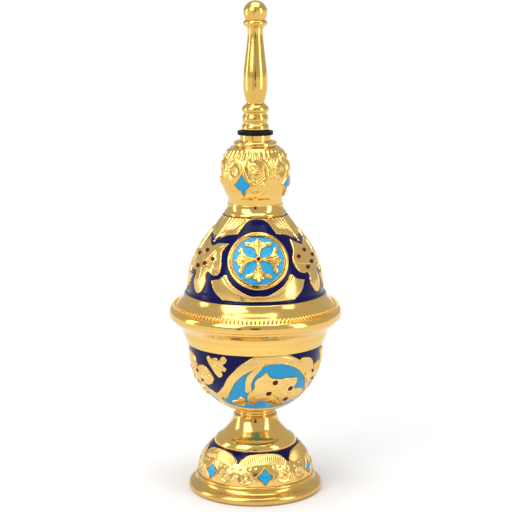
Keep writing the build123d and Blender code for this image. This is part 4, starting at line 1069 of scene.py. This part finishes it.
@dataclass(frozen=True)
class Knop:
    """Neck band, chased knop with enamel lozenges, and its rolled bead."""

    count: int = 4
    turn: float = -22.0
    height: float = 160.0
    scale: float = 0.32
    rows: int = 90

    def build(self) -> None:
        """Makes the knop's pieces."""
        low, high = span("neck_band")
        band = Forge.turned([(13.0, low, True), (15.9, low, True), (15.7, low + 0.5), (14.9, low + 1.5),
                             (14.3, low + 3.0), (14.0, high, True), (12.4, high, True)], FOOT_ROUND)
        Forge.piece("flared_band", band, POLISHED_GILT, "neck_band")
        self.shell()
        self.lozenges()
        low, high = span("knop_bead")
        bead = Forge.turned([(7.2, low, True), (10.2, low, True), (10.8, low + 0.7), (10.9, low + 1.5),
                             (10.7, low + 2.3), (10.1, high - 0.1), (9.6, high, True), (7.2, high, True)])
        Forge.piece("rolled_bead", bead, POLISHED_GILT, "knop_bead")

    def shell(self) -> None:
        """Knop with scrolls, feathers and buds raised between the lozenges."""
        low, high = span("knop_shell")
        heights = np.linspace(KNOP.height, high, self.rows)
        points = KNOP.point(np.zeros(self.rows), heights, np.zeros(self.rows))
        knots = [(KNOP.radius, low, True), *[(-p[1], p[2], True) for p in points], (8.0, high, True)]
        shape = Forge.turned(knots, KNOP_ROUND, closed=False, steps=1)
        eye, seed = ring(2.1, 5.8, 168.2, 8), ring(1.2, 6.6, 161.3, 6)
        scrolls = [Stroke(path, 0.42, 0.62) for path in (
            ((0.5, 166.2), (1.1, 168.8), (1.7, 170.8), (2.4, 172.4)),
            ((-0.5, 166.2), (-1.0, 168.6), (-2.4, 170.6), (-4.4, 171.6), (-5.4, 173.0), (-4.2, 174.2)),
            ((-7.4, 172.0), (-9.6, 169.4), (-10.0, 165.6), (-8.9, 162.4), (-7.3, 161.8), (-6.6, 162.8)),
            ((9.0, 173.4), (11.3, 171.2), (13.0, 168.4), (13.3, 165.2), (12.5, 161.8), (11.0, 158.9)),
            eye + eye[:1], seed + seed[:1])]
        hatch = [Stroke(((8.8 + 0.3 * k, 167.6 - 1.4 * k), (11.2 + 0.15 * k, 169.6 - 1.4 * k)), 0.26, -0.7)
                 for k in range(7)]
        shell = [Stroke(path, 0.26, 0.5) for path in fan((-14.0, 167.4), 1.6, 5.6, 62.0, -78.0, 9)]
        buds = [Stroke(((-13.0 + 3.25 * k, 172.9), (-12.7 + 3.25 * k, 175.6)), 0.72, 0.55) for k in range(9)]
        buds += [Stroke(((5.8, 168.0), (5.85, 168.4)), 0.7, 0.6),
                 Stroke(((4.2, 157.4), (6.6, 156.4)), 0.5, 0.3)]
        pits = [Stroke(path, width, depth) for path, width, depth in (
            (((2.2, 171.6), (1.8, 168.8), (2.5, 165.4), (3.9, 162.4)), 0.5, -0.8),
            (((-5.4, 166.2), (-5.3, 166.4)), 1.7, -0.7),
            (((6.6, 161.3), (6.65, 161.3)), 0.4, -0.3),
            (((6.9, 153.0), (7.0, 153.0)), 0.6, -0.35),
            (((6.3, 157.0), (7.6, 156.2), (9.0, 157.0)), 0.3, -0.4),
            (((11.0, 154.6), (13.4, 156.4)), 0.35, -0.35))]
        motif = chased(*scrolls, *hatch, *shell, *buds, *pits)

        def chase(azimuth: Array, height: Array) -> Array:
            """The motif, once for each lozenge."""
            repeat = 360.0 / self.count
            return motif((np.mod(azimuth - self.turn + repeat / 2, repeat) - repeat / 2) * self.scale, height)

        Forge.piece("chased_knop", Forge.shape(shape, chase), POLISHED_GILT, "knop_shell")

    def lozenges(self) -> None:
        """Light enamel lozenges in raised frames."""
        placer = KNOP.tangent(self.height)
        frame = Forge.relief([lozenge(5.5, 6.9), lozenge(4.0, 5.2)], placer, base=-0.05, lift=0.85,
                             cell=0.5, edge=0.45)
        Forge.piece("knop_frames", Forge.around(frame, self.count, self.turn), POLISHED_GILT,
                    "knop_lozenge_frames")
        fill = Forge.relief([lozenge(4.4, 5.7)], placer, base=-0.05, lift=0.4, cell=0.5, edge=0.3)
        Forge.piece("knop_enamel", Forge.around(fill, self.count, self.turn), SKY_GLAZE, "knop_lozenges")


@dataclass(frozen=True)
class Spout:
    """Rubber washer and the turned spout above it."""

    def build(self) -> None:
        """Makes the spout's pieces."""
        low, high = span("sealing_washer")
        washer = Forge.turned([(5.1, low, True), (8.6, low, True), (8.9, low + 0.2), (8.9, low + 0.85),
                               (8.72, low + 1.0), (8.9, low + 1.15), (8.9, high - 0.2), (8.6, high, True),
                               (5.1, high, True)])
        Forge.piece("rubber_washer", washer, MATT_RUBBER, "sealing_washer", body=Body.GASKET)
        top = span("spout_fitting")[1]
        seat = high + 0.03
        fitting = Forge.turned([(1.6, seat, True), (6.4, seat, True), (6.68, seat + 0.3), (6.7, seat + 2.5),
                                (6.5, seat + 2.9), (6.1, seat + 3.4), (6.1, seat + 4.4), (6.4, seat + 5.0),
                                (6.42, seat + 6.9), (6.2, seat + 7.5), (5.92, seat + 8.1),
                                (5.95, seat + 9.0), (6.5, seat + 9.6, True), (6.68, seat + 9.9, True),
                                (6.68, seat + 11.6, True), (4.6, top, True), (1.6, top, True)])
        Forge.piece("ringed_fitting", fitting, TURNED_GILT, "spout_fitting", body=Body.SPOUT)
        spindle = Forge.turned([(1.6, top, True), (4.45, top, True), (4.5, top + 0.6), (4.95, top + 2.3),
                                (5.45, top + 4.3), (5.9, top + 6.3), (6.0, top + 10.3), (5.9, top + 14.7),
                                (5.6, top + 17.7), (5.1, top + 21.7), (4.55, top + 26.1), (4.1, top + 30.2),
                                (3.8, top + 34.2), (3.95, top + 37.7, True), (1.6, top + 37.7, True)])
        Forge.piece("turned_spindle", spindle, TURNED_GILT, "spout_spindle", body=Body.SPOUT)
        low, high = span("spout_ring")
        collar = Forge.turned([(2.7, low, True), (4.4, low, True), (5.2, low + 0.6), (5.95, low + 1.3, True),
                               (5.95, high - 0.7, True), (4.9, high, True), (2.7, high, True)])
        Forge.piece("chamfered_ring", collar, TURNED_GILT, "spout_ring", body=Body.SPOUT)


@dataclass(frozen=True)
class Lamp:
    """A soft rectangular studio lamp."""

    name: str
    spot: tuple[float, float, float]
    size: tuple[float, float]
    power: float

    def build(self, aim: Vector) -> None:
        """Places the lamp and points it at the part."""
        light = bpy.data.lights.new(self.name, "AREA")
        light.shape = "RECTANGLE"
        light.size, light.size_y = self.size
        light.energy = self.power
        made = bpy.data.objects.new(self.name, light)
        made.location = self.spot
        made.rotation_euler = (aim - Vector(self.spot)).to_track_quat("-Z", "Y").to_euler()
        bpy.context.scene.collection.objects.link(made)


@dataclass(frozen=True)
class Card:
    """A dark card, unseen by the camera, that the gold reflects."""

    name: str
    spot: tuple[float, float, float]
    size: tuple[float, float]

    def build(self, aim: Vector) -> None:
        """Places the card and points it at the part."""
        bm = bmesh.new()
        bmesh.ops.create_grid(bm, x_segments=1, y_segments=1, size=0.5)
        bmesh.ops.scale(bm, vec=(*self.size, 1.0), verts=bm.verts)
        turn = (aim - Vector(self.spot)).to_track_quat("-Z", "Y").to_matrix()
        bmesh.ops.rotate(bm, verts=bm.verts, cent=(0, 0, 0), matrix=turn)
        bmesh.ops.translate(bm, vec=self.spot, verts=bm.verts)
        mesh = bpy.data.meshes.new(self.name)
        bm.to_mesh(mesh)
        bm.free()
        mesh.materials.append(CARD_FELT.material())
        made = bpy.data.objects.new(self.name, mesh)
        made.visible_camera = False
        made.visible_shadow = False
        bpy.context.scene.collection.objects.link(made)


LIGHTING: tuple[Lamp | Card, ...] = (
    Lamp("key", (-0.48, -0.56, 0.66), (0.5, 0.7), 3.6),
    Lamp("fill", (0.72, -0.42, 0.40), (0.24, 0.7), 1.8),
    Lamp("top", (0.0, -0.05, 0.95), (0.7, 0.7), 4.6),
    Lamp("side", (-0.85, 0.05, 0.25), (0.2, 0.7), 1.2),
    Card("camera_card", (0.0, -0.82, 0.25), (0.17, 0.2)),
    Card("stand_card", (-0.26, -0.70, 0.05), (0.07, 0.4)),
)


@dataclass(frozen=True)
class Studio:
    """Pale floor, soft lamps, dark cards that give the gold its contrast, and the photograph's camera."""

    lens: float = 105.9
    sensor: float = 36.0
    pitch: float = 10.3
    spot: tuple[float, float, float] = (0.0, -0.7543, 0.2587)
    shift: float = 0.7 / 512.0
    near: float = 0.01
    aim: tuple[float, float, float] = (0.0, 0.0, 0.12)
    floor_radius: float = 30.0
    fade: tuple[float, float] = (0.06, 0.20)
    room_grey: float = 0.58

    def build(self) -> None:
        """Makes the studio."""
        self.floor()
        self.world()
        for item in LIGHTING:
            item.build(Vector(self.aim))
        self.camera()

    @staticmethod
    def seen_white(tree: bpy.types.NodeTree) -> bpy.types.NodeSocket:
        """Adds a factor that is 1 where the camera, a mirror or glass looks straight at a surface."""
        path = tree.nodes.new("ShaderNodeLightPath")
        seen = tree.nodes.new("ShaderNodeMath")
        seen.operation = "MAXIMUM"
        either = tree.nodes.new("ShaderNodeMath")
        either.operation = "MAXIMUM"
        tree.links.new(path.outputs["Is Camera Ray"], seen.inputs[0])
        tree.links.new(path.outputs["Is Transmission Ray"], seen.inputs[1])
        tree.links.new(seen.outputs[0], either.inputs[0])
        tree.links.new(path.outputs["Is Glossy Ray"], either.inputs[1])
        return either.outputs[0]

    def floor(self) -> None:
        """Pale floor that holds the shadow near the part and runs out to white."""
        bm = bmesh.new()
        bmesh.ops.create_circle(bm, cap_ends=True, segments=96, radius=self.floor_radius)
        mesh = bpy.data.meshes.new("floor")
        bm.to_mesh(mesh)
        bm.free()
        made = FLOOR_PAPER.material()
        tree = made.node_tree
        place, reach = tree.nodes.new("ShaderNodeTexCoord"), tree.nodes.new("ShaderNodeVectorMath")
        reach.operation = "LENGTH"
        fade = tree.nodes.new("ShaderNodeMapRange")
        fade.interpolation_type = "SMOOTHSTEP"
        fade.inputs["From Min"].default_value, fade.inputs["From Max"].default_value = self.fade
        both = tree.nodes.new("ShaderNodeMath")
        both.operation = "MULTIPLY"
        white, mix = tree.nodes.new("ShaderNodeEmission"), tree.nodes.new("ShaderNodeMixShader")
        tree.links.new(place.outputs["Object"], reach.inputs[0])
        tree.links.new(reach.outputs["Value"], fade.inputs["Value"])
        tree.links.new(fade.outputs[0], both.inputs[0])
        tree.links.new(self.seen_white(tree), both.inputs[1])
        tree.links.new(both.outputs[0], mix.inputs[0])
        tree.links.new(tree.nodes["Principled BSDF"].outputs[0], mix.inputs[1])
        tree.links.new(white.outputs[0], mix.inputs[2])
        tree.links.new(mix.outputs[0], tree.nodes["Material Output"].inputs["Surface"])
        mesh.materials.append(made)
        floor = bpy.data.objects.new("floor", mesh)
        bpy.context.scene.collection.objects.link(floor)

    def world(self) -> None:
        """White behind the part as the camera sees it, and a grey room for light and reflections."""
        world = bpy.data.worlds.new("studio")
        world.use_nodes = True
        tree = world.node_tree
        room = tree.nodes["Background"]
        room.inputs["Color"].default_value = (self.room_grey,) * 3 + (1.0,)
        white, mix = tree.nodes.new("ShaderNodeBackground"), tree.nodes.new("ShaderNodeMixShader")
        white.inputs["Color"].default_value = (1.0, 1.0, 1.0, 1.0)
        path = tree.nodes.new("ShaderNodeLightPath")
        tree.links.new(path.outputs["Is Camera Ray"], mix.inputs[0])
        tree.links.new(room.outputs[0], mix.inputs[1])
        tree.links.new(white.outputs[0], mix.inputs[2])
        tree.links.new(mix.outputs[0], tree.nodes["World Output"].inputs["Surface"])
        bpy.context.scene.world = world

    def camera(self) -> None:
        """Camera that sees the part as the photograph does."""
        data = bpy.data.cameras.new("camera")
        data.lens = self.lens
        data.sensor_width = self.sensor
        data.shift_x = self.shift
        data.clip_start = self.near
        made = bpy.data.objects.new("camera", data)
        made.location = self.spot
        made.rotation_euler = (math.radians(90.0 - self.pitch), 0.0, 0.0)
        bpy.context.scene.collection.objects.link(made)
        bpy.context.scene.camera = made


KEPT: dict[str, Finish] = {
    "foot_bell": CAST_GILT, "foot_enamel": NAVY_GLAZE, "stem_stud": PLATED_STEEL, "stem_washer": PLATED_STEEL,
    "stem_nut": PLATED_STEEL, "bowl_shell": POLISHED_GILT, "bowl_navy_enamel": NAVY_GLAZE,
    "bowl_sky_enamel": SKY_GLAZE, "dome_shell": POLISHED_GILT, "neck_bush": TURNED_GILT,
    "sprinkler_ball": TURNED_GILT,
}


def main() -> None:
    """Loads the frame, dresses it and sets up the studio."""
    logging.basicConfig(level=logging.INFO, format="%(message)s")
    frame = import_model()
    for node, finish in KEPT.items():
        Forge.kept(frame["nodes"][node], finish)
    for assembly in (Foot(), Bowl(), Dome(), Knop(), Spout()):
        assembly.build()
    Studio().build()
    bpy.context.scene.view_settings.view_transform = "Standard"
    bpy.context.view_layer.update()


if __name__ == "__main__":
    main()
